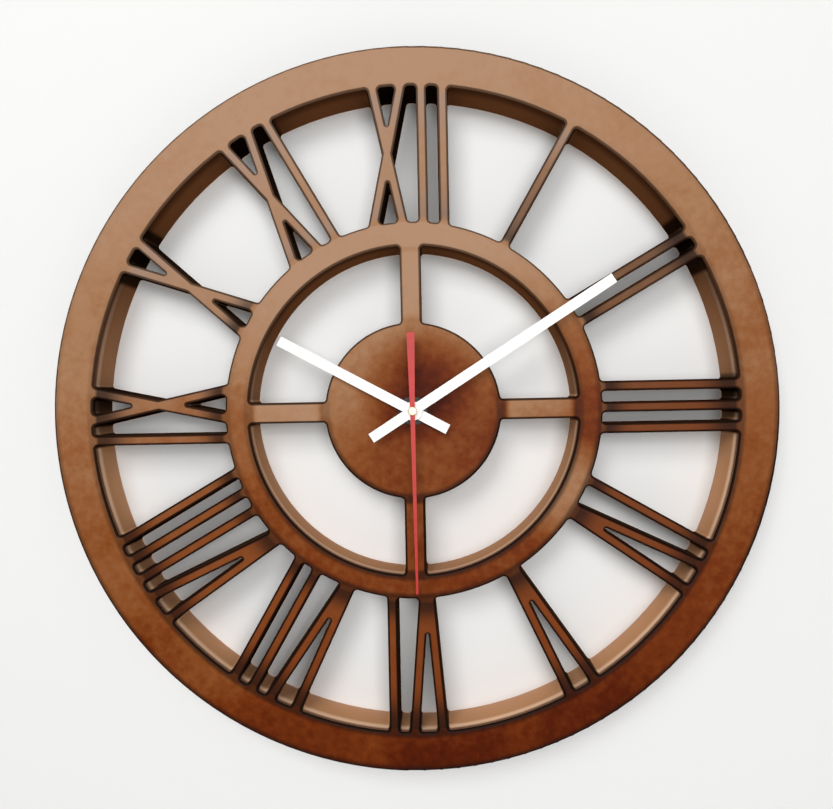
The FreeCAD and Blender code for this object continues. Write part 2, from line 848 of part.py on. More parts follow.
def make_bridge():
    """The plate between the fast wheels and the slow ones."""
    body = new_body("train_bridge")
    outline = new_sketch(body, "bridge_outline", bridge_start)
    draw_rectangle(outline, room_half * 2, train_height, zero, train_centre)
    pad(body, outline, size.bridge_thickness)
    drilled(body, "bridge_pivots", bridge_start, size.bridge_thickness,
            size.pivot_radius + size.running_clearance, [intermediate_axis, rotor_axis])
    drilled(body, "seconds_passage", bridge_start, size.bridge_thickness,
            size.seconds_arbor_radius + size.running_clearance, [centre])
    drilled(body, "third_passage", bridge_start, size.bridge_thickness,
            size.arbor_radius + size.running_clearance, [third_axis])
    drilled(body, "setting_passage", bridge_start, size.bridge_thickness,
            size.setting_arbor_radius + size.running_clearance, [setting_axis])
    keep(body, "train_bridge")


# Cell and contacts

cell_axis_height = wall_inside - size.running_clearance - size.cell_radius


def make_cell():
    """The cell in its bay, with its positive nub to the right."""
    can = cylinder("cell_can", size.cell_radius, size.cell_length, cell_axis_height,
                   -cell_total / 2, bay_centre, along="x")
    nub = cylinder("cell_nub", size.cell_nub_radius, size.cell_nub_length, cell_axis_height,
                   cell_total / 2 - size.cell_nub_length, bay_centre, along="x")
    keep(fuse("cell", [can, nub]), "battery_cell")


def make_contact(label, side):
    """A spring plate on the bay's end wall, with a boss that touches the cell."""
    reach = room_half - size.contact_thickness - cell_total / 2
    plate_middle = (room_half - size.contact_thickness / 2) * side
    plate = block(f"{label}_plate", size.contact_thickness, size.contact_width, size.contact_width,
                  plate_middle, bay_centre, cell_axis_height - size.contact_width / 2)
    start = cell_total / 2 if side > 0 else -(room_half - size.contact_thickness)
    boss = cylinder(f"{label}_boss", size.cell_nub_radius, reach, cell_axis_height,
                    start, bay_centre, along="x")
    keep(fuse(f"{label}_piece", [plate, boss]), label)


# Motor and circuit

coil_x = room_half - size.coil_inset
stator_right = room_half - size.plate_margin
stator_left = rotor_axis[0] - stator_width / 2
yoke_x = rotor_axis[0] - stator_width / 4
circuit_left = setting_axis[0] + size.setting_arbor_radius + size.circuit_gap
circuit_width = stator_right - circuit_left
circuit_x = circuit_left + circuit_width / 2
circuit_y = room_half - size.plate_margin - size.circuit_height / 2
post_x = stator_right - size.post_radius * 2
stator_posts = [(post_x, rotor_axis[1]), (post_x, stator_high - size.post_radius)]
circuit_posts = [
    (circuit_x - circuit_width / 3, circuit_y),
    (circuit_x + circuit_width / 3, circuit_y),
]


def make_stator():
    """The motor's iron: a plate with a round window, a core through the coil and a yoke back."""
    body = new_body("motor_stator")
    sink = size.core_width / 2
    members = {
        "plate": (stator_right - stator_left, stator_width,
                  (stator_right + stator_left) / 2, rotor_axis[1]),
        "core": (size.core_width, stator_low + sink - yoke_middle,
                 coil_x, (stator_low + sink + yoke_middle) / 2),
        "yoke": (size.core_width, stator_low + sink - yoke_middle,
                 yoke_x, (stator_low + sink + yoke_middle) / 2),
        "foot": (coil_x - yoke_x + size.core_width, size.core_width,
                 (coil_x + yoke_x) / 2, yoke_middle),
    }
    for name, (width, height, x, y) in members.items():
        outline = new_sketch(body, f"stator_{name}", stator_start)
        draw_rectangle(outline, width, height, x, y)
        pad(body, outline, size.stator_thickness)
    drilled(body, "rotor_window", stator_start, size.stator_thickness,
            size.rotor_radius + size.rotor_gap, [rotor_axis])
    keep(body, "motor_stator")


def make_coil():
    """The motor's winding, a closed tube round the core."""
    axis_height = stator_start + size.stator_thickness / 2
    low = coil_top - size.coil_length
    corner = (size.core_width + size.stator_thickness) / 2
    winding = cylinder("winding", size.coil_radius, size.coil_length, axis_height, coil_x, low, along="y")
    bore = cylinder("winding_bore", corner, size.coil_length, axis_height, coil_x, low, along="y")
    keep(cut("coil_tube", winding, bore), "motor_coil")


def make_circuit():
    """The circuit board and the crystal that lies on it."""
    body = new_body("circuit_board")
    outline = new_sketch(body, "circuit_outline", stator_start)
    draw_rectangle(outline, circuit_width, size.circuit_height, circuit_x, circuit_y)
    pad(body, outline, size.circuit_thickness)
    keep(body, "circuit_board")
    height = stator_start + size.circuit_thickness + size.crystal_radius
    end = circuit_x + size.crystal_length / 2
    pieces = [cylinder("crystal_can", size.crystal_radius, size.crystal_length, height,
                       circuit_x - size.crystal_length / 2, circuit_y, along="x")]
    for side in (-1, 1):
        pieces.append(cylinder(f"crystal_lead_{side + 2}", size.crystal_lead_radius,
                               size.crystal_lead_length, height, end,
                               circuit_y + size.crystal_radius / 2 * side, along="x"))
    keep(fuse("crystal", pieces), "quartz_crystal")


# Gear train

def gear(teeth, module, start, length, toward, gap=False):
    """A toothed wheel with a tooth, or a gap, centred on the direction of its partner."""
    pitch_radius = module.number * teeth / 2
    tip = pitch_radius + module.number * ADDENDUM_SHARE
    root = pitch_radius - module.number * DEDENDUM_SHARE
    pitch = 2 * math.pi / teeth
    first = math.radians(toward) + (pitch / 2 if gap else 0)
    points = []
    for k in range(teeth):
        middle = first + k * pitch
        flanks = [(root, -ROOT_SHARE), (tip, -TIP_SHARE), (tip, TIP_SHARE), (root, ROOT_SHARE)]
        for radius, share in flanks:
            angle = middle + share * pitch / 2
            points.append(Vector(radius * math.cos(angle), radius * math.sin(angle), start.number))
    face = Part.Face(Part.makePolygon(points + points[:1]))
    return face.extrude(Vector(0, 0, length.number))


def wheel_disc(teeth, module, layer, toward, gap=False):
    """A wheel in the middle of its layer."""
    return gear(teeth, module, layer + size.pinion_overhang, size.wheel_thickness, toward, gap)


def pinion(teeth, module, layer, toward, gap=False):
    """A pinion the full depth of its layer."""
    return gear(teeth, module, layer, pinion_length, toward, gap)


def shaft(radius, start, end):
    """A round arbor between two heights."""
    return bar(radius.number, start.number, (end - start).number)


def add_wheel(label, shapes, axis, bore=None):
    """Wheels, pinions and arbor on one axis as a sub-part, with a bore if it has one."""
    solid = shapes[0].multiFuse(shapes[1:]).removeSplitter()
    if bore is not None:
        box = solid.BoundBox
        solid = solid.cut(bar(bore.number, box.ZMin - box.ZLength, box.ZLength * 3))
    piece = doc.addObject("Part::Feature", label)
    piece.Shape = solid
    keep(piece, label, axis[0].number, axis[1].number)


def make_train():
    """Every wheel of the movement, each in mesh with the next."""
    pivot_floor = cover_inside - size.pivot_depth + size.running_clearance
    bridge_top = bridge_start + size.bridge_thickness
    add_wheel("rotor", [
        shaft(size.rotor_radius, rotor_start, rotor_start + size.rotor_length),
        pinion(ROTOR_TEETH, size.train_module, first_layer, ROTOR_DIRECTION + 180, gap=True),
        shaft(size.pivot_radius, pivot_floor, bridge_top),
    ], rotor_axis)
    add_wheel("intermediate_wheel", [
        wheel_disc(INTERMEDIATE_TEETH, size.train_module, first_layer, ROTOR_DIRECTION),
        pinion(INTERMEDIATE_PINION, size.train_module, second_layer,
               INTERMEDIATE_DIRECTION + 180, gap=True),
        shaft(size.pivot_radius, pivot_floor, bridge_top),
        shaft(size.arbor_radius, first_layer, second_layer + pinion_length),
    ], intermediate_axis)
    add_wheel("seconds_wheel", [
        wheel_disc(SECONDS_TEETH, size.train_module, second_layer, INTERMEDIATE_DIRECTION),
        pinion(SECONDS_PINION, third_module, third_layer, THIRD_DIRECTION),
        shaft(size.seconds_arbor_radius, cover_inside + size.layer_gap, second_plate + size.hand_thickness),
        shaft(size.pivot_radius, pivot_floor, second_layer),
    ], centre)
    add_wheel("third_wheel", [
        wheel_disc(THIRD_TEETH, third_module, third_layer, THIRD_DIRECTION + 180, gap=True),
        pinion(THIRD_PINION, size.centre_module, centre_layer, THIRD_DIRECTION + 180),
        shaft(size.pivot_radius, pivot_floor, wall_inside + size.pivot_depth - size.running_clearance),
        shaft(size.arbor_radius, cover_inside + size.layer_gap, wall_inside - size.layer_gap),
    ], third_axis)
    tube_bore = size.seconds_arbor_radius + size.running_clearance
    add_wheel("centre_wheel", [
        wheel_disc(CENTRE_TEETH, size.centre_module, centre_layer, THIRD_DIRECTION, gap=True),
        shaft(size.minute_tube_radius * 2, centre_layer + size.pinion_overhang,
              centre_layer + pinion_length),
    ], centre, size.minute_tube_radius + size.press_clearance)
    add_wheel("minute_arbor", [
        pinion(CANNON_TEETH, motion_module, cannon_layer, MOTION_DIRECTION),
        shaft(size.minute_tube_radius, centre_layer,
              minute_plate + size.hand_thickness + size.shaft_end),
    ], centre, tube_bore)
    add_wheel("motion_wheel", [
        wheel_disc(MOTION_TEETH, motion_module, cannon_layer, MOTION_DIRECTION + 180, gap=True),
        pinion(MOTION_PINION, hour_module, hour_layer - size.layer_gap, MOTION_DIRECTION + 180),
        shaft(size.arbor_radius * 2, cannon_layer + size.pinion_overhang, hour_layer),
    ], motion_axis, size.arbor_radius + size.running_clearance)
    add_wheel("hour_wheel", [
        wheel_disc(HOUR_TEETH, hour_module, hour_layer - size.pinion_overhang, MOTION_DIRECTION, gap=True),
        shaft(size.hour_pipe_radius, hour_layer, hour_plate + size.hand_thickness + size.shaft_end),
    ], centre, size.minute_tube_radius + size.running_clearance)
    add_wheel("setting_knob", [
        pinion(SETTING_TEETH, motion_module, cannon_layer, SETTING_DIRECTION + 180),
        shaft(size.setting_arbor_radius, knob_start, cannon_layer + pinion_length),
        shaft(size.knob_radius, knob_start, knob_start + size.knob_thickness),
    ], setting_axis)


# Hands

def make_hand(label, plate, outline, boss, shaft_radius, angle):
    """A flat hand with a boss, and a collet below it that grips its shaft."""
    body = new_body(label)
    blade = new_sketch(body, f"{label}_blade", plate)
    draw_outline(blade, outline)
    pad(body, blade, size.hand_thickness)
    disc = new_sketch(body, f"{label}_boss", plate)
    draw_circle(disc, boss)
    pad(body, disc, size.hand_thickness)
    grip = shaft_radius + size.press_clearance
    collet = new_sketch(body, f"{label}_collet", plate)
    draw_circle(collet, grip + size.collet_wall)
    pad(body, collet, size.collet_length, away=True)
    drilled(body, f"{label}_bore", plate - size.collet_length,
            size.collet_length + size.hand_thickness, grip, [centre])
    keep(body, label, turn=-angle)


def baton(length, tail):
    """A straight hand with square ends."""
    half = size.hand_width / 2
    return [(-half, -tail), (half, -tail), (half, length), (-half, length)]


def make_hands():
    """The two white hands, the red one and its cap."""
    make_hand("hour_hand", hour_plate, baton(size.hour_hand_length, size.hour_hand_tail),
              size.hand_boss_radius, size.hour_pipe_radius, HOUR_HAND_ANGLE)
    make_hand("minute_hand", minute_plate, baton(size.minute_hand_length, size.minute_hand_tail),
              size.hand_boss_radius, size.minute_tube_radius, MINUTE_HAND_ANGLE)
    tail = size.second_tail_width / 2
    waist = size.second_waist_width / 2
    tip = size.second_tip_width / 2
    needle = [
        (-tail, -size.second_hand_tail), (tail, -size.second_hand_tail), (waist, zero),
        (tip, size.second_hand_length), (-tip, size.second_hand_length), (-waist, zero),
    ]
    make_hand("second_hand", second_plate, needle, size.cap_radius,
              size.seconds_arbor_radius, SECOND_HAND_ANGLE)
    cap_start = second_plate + size.hand_thickness
    cap = cylinder("cap_disc", size.cap_radius, size.cap_height, cap_start)
    doc.recompute()
    rounded = doc.addObject("Part::Fillet", "second_hand_cap")
    rounded.Base = cap
    crown = [i for i, edge in enumerate(cap.Shape.Edges, start=1)
             if edge.BoundBox.ZMin > (cap_start + size.cap_height / 2).number]
    dome = size.cap_height.number / 2
    rounded.Edges = [(i, dome, dome) for i in crown]
    keep(rounded, "second_hand_cap", turn=-SECOND_HAND_ANGLE)


# Fastening of the movement

def make_fastening():
    """The washers and the nut that clamp the movement to the hub."""
    washer("rubber_washer", size.rubber_washer_radius, size.bushing_radius + size.thread_clearance,
           size.rubber_washer_thickness, case_front)
    washer("front_washer", size.washer_radius, size.bushing_radius + size.thread_clearance,
           size.washer_thickness, board_thickness)
    hexagon = doc.addObject("Part::Prism", "nut_blank")
    hexagon.Polygon = NUT_SIDES
    bind(hexagon, "Circumradius", size.nut_across_flats / (2 * math.cos(math.pi / NUT_SIDES)))
    bind(hexagon, "Height", size.nut_thickness)
    bind(hexagon, "Placement.Base.z", nut_start)
    bore = cylinder("nut_bore", size.bushing_radius + size.thread_clearance,
                    size.nut_thickness + size.overrun * 2, nut_start - size.overrun)
    keep(cut("nut", hexagon, bore), "hex_nut")


split_board()
make_hanger()
make_case()
make_cover()
make_bridge()
make_cell()
make_contact("contact_positive", 1)
make_contact("contact_negative", -1)
make_stator()
make_coil()
make_circuit()
make_train()
make_hands()
make_fastening()
doc.recompute()

for thing in doc.Objects:
    if "Invalid" in thing.State or "Error" in thing.State:
        raise RuntimeError(f"{thing.Name} failed: {thing.State}")
for node in nodes:
    if node.Shape.isNull() or not node.Shape.isValid() or not node.Shape.Solids:
        raise RuntimeError(f"{node.Label} has no sound shape")

os.makedirs("parts", exist_ok=True)
for node in nodes:
    node.Shape.exportStep(f"parts/{node.Label}.step")
    box = node.Shape.BoundBox
    print(f"{node.Label}: {len(node.Shape.Solids)} solids, {node.Shape.Volume:.1f} mm3, "
          f"{box.XLength:.1f} x {box.YLength:.1f} x {box.ZLength:.1f}")
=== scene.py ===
"""Looks of a round open-work wooden wall clock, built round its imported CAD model.

The dial faces -Y, the wall is the plane Y = 0, and the origin is the seat of the wall's nail.
Every length is in metres in that frame.
"""

import logging
import math
from dataclasses import dataclass, field
from enum import Enum

import bmesh
import bpy
from mathutils import Matrix, Vector


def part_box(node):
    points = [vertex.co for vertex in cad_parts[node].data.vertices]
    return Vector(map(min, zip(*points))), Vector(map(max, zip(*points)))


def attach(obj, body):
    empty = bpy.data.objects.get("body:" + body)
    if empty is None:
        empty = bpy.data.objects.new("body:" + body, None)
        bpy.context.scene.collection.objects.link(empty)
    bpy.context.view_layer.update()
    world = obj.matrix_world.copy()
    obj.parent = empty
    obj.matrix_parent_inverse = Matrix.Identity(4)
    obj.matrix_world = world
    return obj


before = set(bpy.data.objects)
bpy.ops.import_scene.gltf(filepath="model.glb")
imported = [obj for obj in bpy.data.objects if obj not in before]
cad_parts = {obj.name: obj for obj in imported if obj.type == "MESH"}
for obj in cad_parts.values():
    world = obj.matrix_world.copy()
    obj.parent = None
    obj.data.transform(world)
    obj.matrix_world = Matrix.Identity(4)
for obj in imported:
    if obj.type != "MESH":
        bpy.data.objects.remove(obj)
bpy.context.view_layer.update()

log = logging.getLogger("wall_clock")

MM = 0.001

Colour = tuple[float, float, float, float]
Place = tuple[float, float]
Span = tuple[float, float]
Vector3 = tuple[float, float, float]
Socket = bpy.types.NodeSocket

UNTURNED = (0.0, 0.0, 0.0)
FACING_FRONT = (math.radians(90), 0.0, 0.0)
UNIT_SQUARE = ((-0.5, -0.5), (0.5, -0.5), (0.5, 0.5), (-0.5, 0.5))


class Surface(Enum):
    """The record's material slots."""

    WOOD = "stained_wood"
    ZINC = "zinc_steel"
    BLACK_PLASTIC = "black_plastic"
    WHITE_PLASTIC = "white_plastic"
    CELL = "cell_jacket"
    PLATED = "plated_steel"
    IRON = "soft_iron"
    COPPER = "copper_winding"
    LAMINATE = "circuit_laminate"
    CRYSTAL = "crystal_can"
    MAGNET = "magnet"
    BRASS = "brass"
    WHITE_LACQUER = "white_lacquer"
    RED_LACQUER = "red_lacquer"
    CAP = "brass_cap"
    RUBBER = "rubber"
    BLACK_STEEL = "black_steel"


def tone(red: int, green: int, blue: int) -> Colour:
    """A colour as Blender holds it.

    Args:
        red: Red as a screen shows it, from 0 to 255.
        green: Green, likewise.
        blue: Blue, likewise.

    Returns:
        The linear colour with full opacity.
    """
    def linear(value: int) -> float:
        """One channel made linear."""
        share = value / 255
        return share / 12.92 if share <= 0.04045 else ((share + 0.055) / 1.055) ** 2.4

    return (linear(red), linear(green), linear(blue), 1.0)


class Graph:
    """Adds nodes to one tree and joins them."""

    def __init__(self, tree: bpy.types.NodeTree) -> None:
        """Hold the tree.

        Args:
            tree: A shader or geometry tree.
        """
        self.tree = tree

    def add(self, kind: str, **settings: object) -> bpy.types.Node:
        """A new node with its settings.

        Args:
            kind: The node's type name.
            **settings: Properties of the node.

        Returns:
            The node.
        """
        node = self.tree.nodes.new(kind)
        for name, value in settings.items():
            setattr(node, name, value)
        return node

    def feed(self, socket: Socket, value: object) -> None:
        """Link a socket to an input, or give the input a plain value.

        Args:
            socket: The input.
            value: An output socket, or a value.
        """
        if isinstance(value, Socket):
            self.tree.links.new(value, socket)
        else:
            socket.default_value = value

    def maths(self, operation: str, *values: object, clamp: bool = False) -> Socket:
        """The result of one sum.

        Args:
            operation: A Math node's operation.
            *values: Its inputs.
            clamp: Whether the result stays from 0 to 1.

        Returns:
            The result's socket.
        """
        node = self.add("ShaderNodeMath", operation=operation, use_clamp=clamp)
        for socket, value in zip(node.inputs, values):
            self.feed(socket, value)
        return node.outputs[0]

    def times(self, first: object, *others: object) -> Socket:
        """The product of two or more values.

        Args:
            first: A value.
            *others: The values that it is multiplied by.

        Returns:
            The product.
        """
        for other in others:
            first = self.maths("MULTIPLY", first, other)
        return first

    def plus(self, first: object, *others: object) -> Socket:
        """The sum of two or more values.

        Args:
            first: A value.
            *others: The values that are added to it.

        Returns:
            The sum.
        """
        for other in others:
            first = self.maths("ADD", first, other)
        return first

    def apart(self, first: object, second: object) -> Socket:
        """How far two values lie apart, without a sign.

        Args:
            first: A value.
            second: A value.

        Returns:
            The difference.
        """
        return self.maths("ABSOLUTE", self.maths("SUBTRACT", first, second))

    def distance(self, across: object, up: object, place: Place = (0.0, 0.0)) -> Socket:
        """How far a point of the dial lies from a place on it.

        Args:
            across: The point's place to the right.
            up: The point's place upwards.
            place: The place, to the right and upwards.

        Returns:
            The distance.
        """
        off_across = self.maths("SUBTRACT", across, place[0])
        off_up = self.maths("SUBTRACT", up, place[1])
        return self.maths("SQRT", self.plus(self.times(off_across, off_across), self.times(off_up, off_up)))

    def fade(self, value: object, start: float, end: float) -> Socket:
        """A mask that rises smoothly from 0 at start to 1 at end.

        Args:
            value: What is measured.
            start: Where the mask is 0.
            end: Where the mask is 1.

        Returns:
            The mask.
        """
        node = self.add("ShaderNodeMapRange", interpolation_type="SMOOTHSTEP")
        for name, given in (("Value", value), ("From Min", start), ("From Max", end)):
            self.feed(node.inputs[name], given)
        return node.outputs["Result"]

    def blend(self, share: object, first: object, second: object) -> Socket:
        """A colour between two.

        Args:
            share: 0 gives the first, 1 the second.
            first: A colour.
            second: A colour.

        Returns:
            The mixed colour.
        """
        node = self.add("ShaderNodeMix", data_type="RGBA")
        self.feed(node.inputs["Factor"], share)
        self.feed(node.inputs[6], first)
        self.feed(node.inputs[7], second)
        return node.outputs[2]

    def ramp(self, value: object, stops: tuple[tuple[float, Colour], ...]) -> Socket:
        """A colour picked along a row of colours.

        Args:
            value: The place along the row.
            stops: Places from 0 to 1, each with its colour.

        Returns:
            The colour.
        """
        node = self.add("ShaderNodeValToRGB")
        elements = node.color_ramp.elements
        while len(elements) < len(stops):
            elements.new(0.5)
        for element, (place, colour) in zip(elements, stops):
            element.position = place
            element.color = colour
        self.feed(node.inputs["Fac"], value)
        return node.outputs["Color"]

    def noise(self, place: object, scale: object, detail: float = 3.0, rough: float = 0.55) -> Socket:
        """A soft random value round 0.5.

        Args:
            place: Where it is read.
            scale: Spots to the metre.
            detail: How many finer layers it has.
            rough: How strong the finer layers are.

        Returns:
            The value.
        """
        node = self.add("ShaderNodeTexNoise")
        for name, given in (("Vector", place), ("Scale", scale), ("Detail", detail), ("Roughness", rough)):
            self.feed(node.inputs[name], given)
        return node.outputs["Fac"]

    def relief(self, shader: bpy.types.Node, height: object, strength: float, depth: float) -> None:
        """Raise a shader's surface by a height.

        Args:
            shader: The Principled shader.
            height: The height from 0 to 1.
            strength: How much of the relief shows.
            depth: The depth of a height of 1.
        """
        bump = self.add("ShaderNodeBump")
        bump.inputs["Strength"].default_value = strength
        bump.inputs["Distance"].default_value = depth
        self.feed(bump.inputs["Height"], height)
        self.feed(shader.inputs["Normal"], bump.outputs["Normal"])


@dataclass(frozen=True)
class Variation:
    """What breaks up a plain finish: two tones, a changing gloss and a fine relief."""

    base: Colour
    second: Colour
    gloss: Span
    scale: float
    contrast: float

    INPUTS = (("Scale", "Float"), ("Contrast", "Float"), ("Base", "Color"), ("Second", "Color"),
              ("Gloss Low", "Float"), ("Gloss High", "Float"))
    OUTPUTS = (("Color", "Color"), ("Roughness", "Float"), ("Height", "Float"))
    BROAD_SCALE = 0.12
    BROAD_SHARE = 0.6
    FINE_DETAIL = 4.0
    FINE_ROUGH = 0.7

    def place_in(self, graph: Graph) -> bpy.types.Node:
        """Put the group into a material, with this finish's values.

        Args:
            graph: The material's graph.

        Returns:
            The group's node.
        """
        node = graph.add("ShaderNodeGroup")
        node.node_tree = bpy.data.node_groups.get("fine_variation") or self.tree()
        values = (self.scale, self.contrast, self.base, self.second, *self.gloss)
        for socket, value in zip(node.inputs, values):
            socket.default_value = value
        return node

    def tree(self) -> bpy.types.NodeTree:
        """Build the group that all finishes share.

        Returns:
            The group's tree.
        """
        tree = bpy.data.node_groups.new("fine_variation", "ShaderNodeTree")
        for way, sockets in (("INPUT", self.INPUTS), ("OUTPUT", self.OUTPUTS)):
            for name, kind in sockets:
                tree.interface.new_socket(name=name, in_out=way, socket_type=f"NodeSocket{kind}")
        graph = Graph(tree)
        given = graph.add("NodeGroupInput").outputs
        result = graph.add("NodeGroupOutput")
        place = graph.add("ShaderNodeTexCoord").outputs["Object"]
        broad = graph.noise(place, graph.times(given["Scale"], self.BROAD_SCALE))
        fine = graph.noise(place, given["Scale"], self.FINE_DETAIL, self.FINE_ROUGH)
        both = graph.plus(graph.times(broad, self.BROAD_SHARE), graph.times(fine, 1 - self.BROAD_SHARE))
        spread = graph.times(graph.maths("SUBTRACT", both, 0.5), given["Contrast"])
        mask = graph.maths("ADD", spread, 0.5, clamp=True)
        gloss = graph.add("ShaderNodeMapRange")
        graph.feed(gloss.inputs["Value"], fine)
        graph.feed(gloss.inputs["To Min"], given["Gloss Low"])
        graph.feed(gloss.inputs["To Max"], given["Gloss High"])
        graph.feed(result.inputs["Color"], graph.blend(mask, given["Base"], given["Second"]))
        graph.feed(result.inputs["Roughness"], gloss.outputs["Result"])
        graph.feed(result.inputs["Height"], fine)
        return tree


def new_material(name: str) -> tuple[bpy.types.Material, Graph, bpy.types.Node]:
    """An empty material with its shader in place.

    Args:
        name: The material's name.

    Returns:
        The material, its graph and its Principled shader.
    """
    material = bpy.data.materials.new(name)
    material.use_nodes = True
    graph = Graph(material.node_tree)
    return material, graph, material.node_tree.nodes["Principled BSDF"]


@dataclass(frozen=True)
class PlainFinish:
    """A finish of two near tones, a gloss and a fine relief."""

    slot: Surface
    base: Colour
    second: Colour
    gloss: Span = (0.4, 0.55)
    metallic: float = 0.0
    scale: float = 900.0
    contrast: float = 3.0
    relief: float = 0.15
    depth: float = 0.02 * MM
    coat: float = 0.0

    def make(self) -> bpy.types.Material:
        """Build the material.

        Returns:
            The material.
        """
        material, graph, shader = new_material(self.slot.value)
        group = Variation(self.base, self.second, self.gloss, self.scale, self.contrast).place_in(graph)
        graph.feed(shader.inputs["Base Color"], group.outputs["Color"])
        graph.feed(shader.inputs["Roughness"], group.outputs["Roughness"])
        shader.inputs["Metallic"].default_value = self.metallic
        shader.inputs["Coat Weight"].default_value = self.coat
        graph.relief(shader, group.outputs["Height"], self.relief, self.depth)
        return material


@dataclass(frozen=True)
class Patch:
    """A soft round patch of the stain."""

    place: Place
    reach: Span
    change: float


@dataclass(frozen=True)
class DialPoint:
    """Where a shaded point of the board lies and faces, in sockets of the wood's graph."""

    graph: Graph
    across: Socket
    up: Socket
    depth: Socket
    radius: Socket
    lean: Socket
    speckle: Socket
    facing_right: Socket
    facing_up: Socket

    def within(self, edge: float, blur: float) -> Socket:
        """A mask of what lies inside a circle.

        Args:
            edge: The circle's radius, where the mask is 0.
            blur: How far inside it the mask reaches 1.

        Returns:
            The mask.
        """
        return self.graph.fade(self.radius, edge, edge - blur)

    def beyond(self, edge: float, blur: float) -> Socket:
        """A mask of what lies outside a circle.

        Args:
            edge: The circle's radius, where the mask is 0.
            blur: How far outside it the mask reaches 1.

        Returns:
            The mask.
        """
        return self.graph.fade(self.radius, edge, edge + blur)

    def patch(self, patch: Patch) -> Socket:
        """What a patch changes here.

        Args:
            patch: The patch.

        Returns:
            The change of the shade.
        """
        off = self.graph.distance(self.across, self.up, patch.place)
        return self.graph.times(self.graph.fade(off, *patch.reach), patch.change)


@dataclass(frozen=True)
class FaceStainAndLight:
    """The front's stain and painted light: painted light above, painted shade at the foot, painted patches
    of shade and highlight, edges and strokes.

    A lean is how far a point lies towards the light, from -1 at one end of the dial to 1 at the other.
    A change is added to the shade, which picks a tone from 0, the darkest, to 1.
    """

    tones: tuple[tuple[float, Colour], ...] = (
        (0.00, tone(62, 18, 2)),
        (0.12, tone(84, 27, 3)),
        (0.28, tone(112, 49, 13)),
        (0.42, tone(132, 73, 33)),
        (0.56, tone(144, 91, 54)),
        (0.74, tone(162, 118, 84)),
        (1.00, tone(172, 134, 106)),
    )
    middle_shade: float = 0.58
    # Painted light: how much lighter the front grows towards the light above, and darker at the foot.
    painted_light_slope: float = 0.46

    # Painted shade round the hands' middle, on the hub.
    painted_hand_shade: Patch = Patch((6 * MM, 11 * MM), (38 * MM, 4 * MM), -0.44)
    hub_blur: float = 4 * MM
    hub_change: float = -0.07
    # Painted light on the hub's upper side, away from its middle.
    hub_light_reach: Span = (24 * MM, 44 * MM)
    hub_light_lean: Span = (-0.1, 0.06)
    hub_light_change: float = 0.16

    seam: float = 1 * MM
    spoke_blur: float = 5 * MM
    # Painted light on the upper spokes.
    spoke_light_lean: Span = (-0.2, 0.0)
    spoke_light_change: float = 0.3

    ring_blur: float = 2 * MM
    # A painted highlight on the ring, low on the right, and painted light on its upper side.
    ring_highlight: Patch = Patch((84 * MM, -46 * MM), (40 * MM, 8 * MM), 0.36)
    ring_light_lean: Span = (0.1, 0.4)
    ring_light_change: float = 0.22
    # Painted shade on the lower side inside the ring.
    low_shade_lean: Span = (0.1, -0.1)
    low_shade_change: float = -0.1
    # Painted shade on the right side inside the ring, near the height of the middle.
    right_shade_across: Span = (12 * MM, 55 * MM)
    right_shade_height: float = 18 * MM
    right_shade_reach: Span = (56 * MM, 22 * MM)
    right_shade_change: float = -0.16

    # Colour of the dark rounded edges: real dark stain in the edges, and painted shade on the side away
    # from the light.
    edge: Colour = tone(26, 13, 8)
    edge_reach: Span = (4.2 * MM, 1.5 * MM)
    # Painted shade along the round edges on the side away from the light.
    edge_shade_turn: Span = (0.9, -0.7)
    edge_shade_share: float = 0.7

    stroke_blur: float = 6 * MM
    rim_end: Span = (34 * MM, 6 * MM)
    ring_end: Span = (22 * MM, 4 * MM)
    cool: Colour = tone(158, 130, 112)
    cool_lean: Span = (0.0, 0.5)
    cool_share: float = 0.25
    cool_end_share: float = 0.6
    dark: Colour = tone(58, 37, 26)
    dark_across: Span = (-40 * MM, 70 * MM)
    dark_lean: Span = (0.66, 0.4)
    dark_share: float = 0.6
    warm: Colour = tone(124, 63, 28)
    warm_lean: Span = (0.35, -0.35)
    warm_share: float = 0.65
    end: Colour = tone(30, 16, 11)
    end_blur: float = 3 * MM
    end_lean: Span = (0.6, 0.3)
    end_speckle: float = 0.9
    end_share: float = 0.85


@dataclass(frozen=True)
class WallStainAndShade:
    """The stain on the sawn walls, paler on the walls below the openings, with painted shade on the walls
    above them, which face down, and in the pockets between strokes.

    A depth is a share of the board's thickness, from 0 at the back to 1 at the front.
    """

    light: Colour = tone(206, 152, 110)
    deep: Colour = tone(200, 152, 118)
    deep_from: Span = (0.5, 0.0)
    bright: Colour = tone(252, 208, 172)
    bright_from: Span = (0.62, 0.76)
    lip: Colour = tone(132, 96, 74)
    lip_from: Span = (0.8, 0.9)
    ring_dull: float = 0.35
    # Painted shade on the walls that face down, above the openings.
    under: Colour = tone(112, 70, 42)
    under_shade_lip: Colour = tone(76, 45, 26)
    under_shade_from: Span = (0.9, 0.5)
    under_shade_facing: Span = (0.25, -0.6)
    numeral_turn: float = math.radians(30)
    # Painted shade in the pockets between the upper numerals' strokes.
    pocket_shade: Colour = tone(16, 9, 6)
    pocket_shade_turn: Span = (0.2, 0.165)
    pocketless: float = 1.0
    pocketless_turn: Span = (0.3, 0.5)
    pocket_shade_height: Span = (-20 * MM, 10 * MM)
    pocket_shade_share: float = 0.9
    stroke: Colour = tone(30, 17, 11)
    stroke_facing: Span = (0.92, 0.55)
    stroke_share: float = 0.92
    outside: Colour = tone(58, 31, 18)
    outside_facing: Span = (0.5, 0.9)


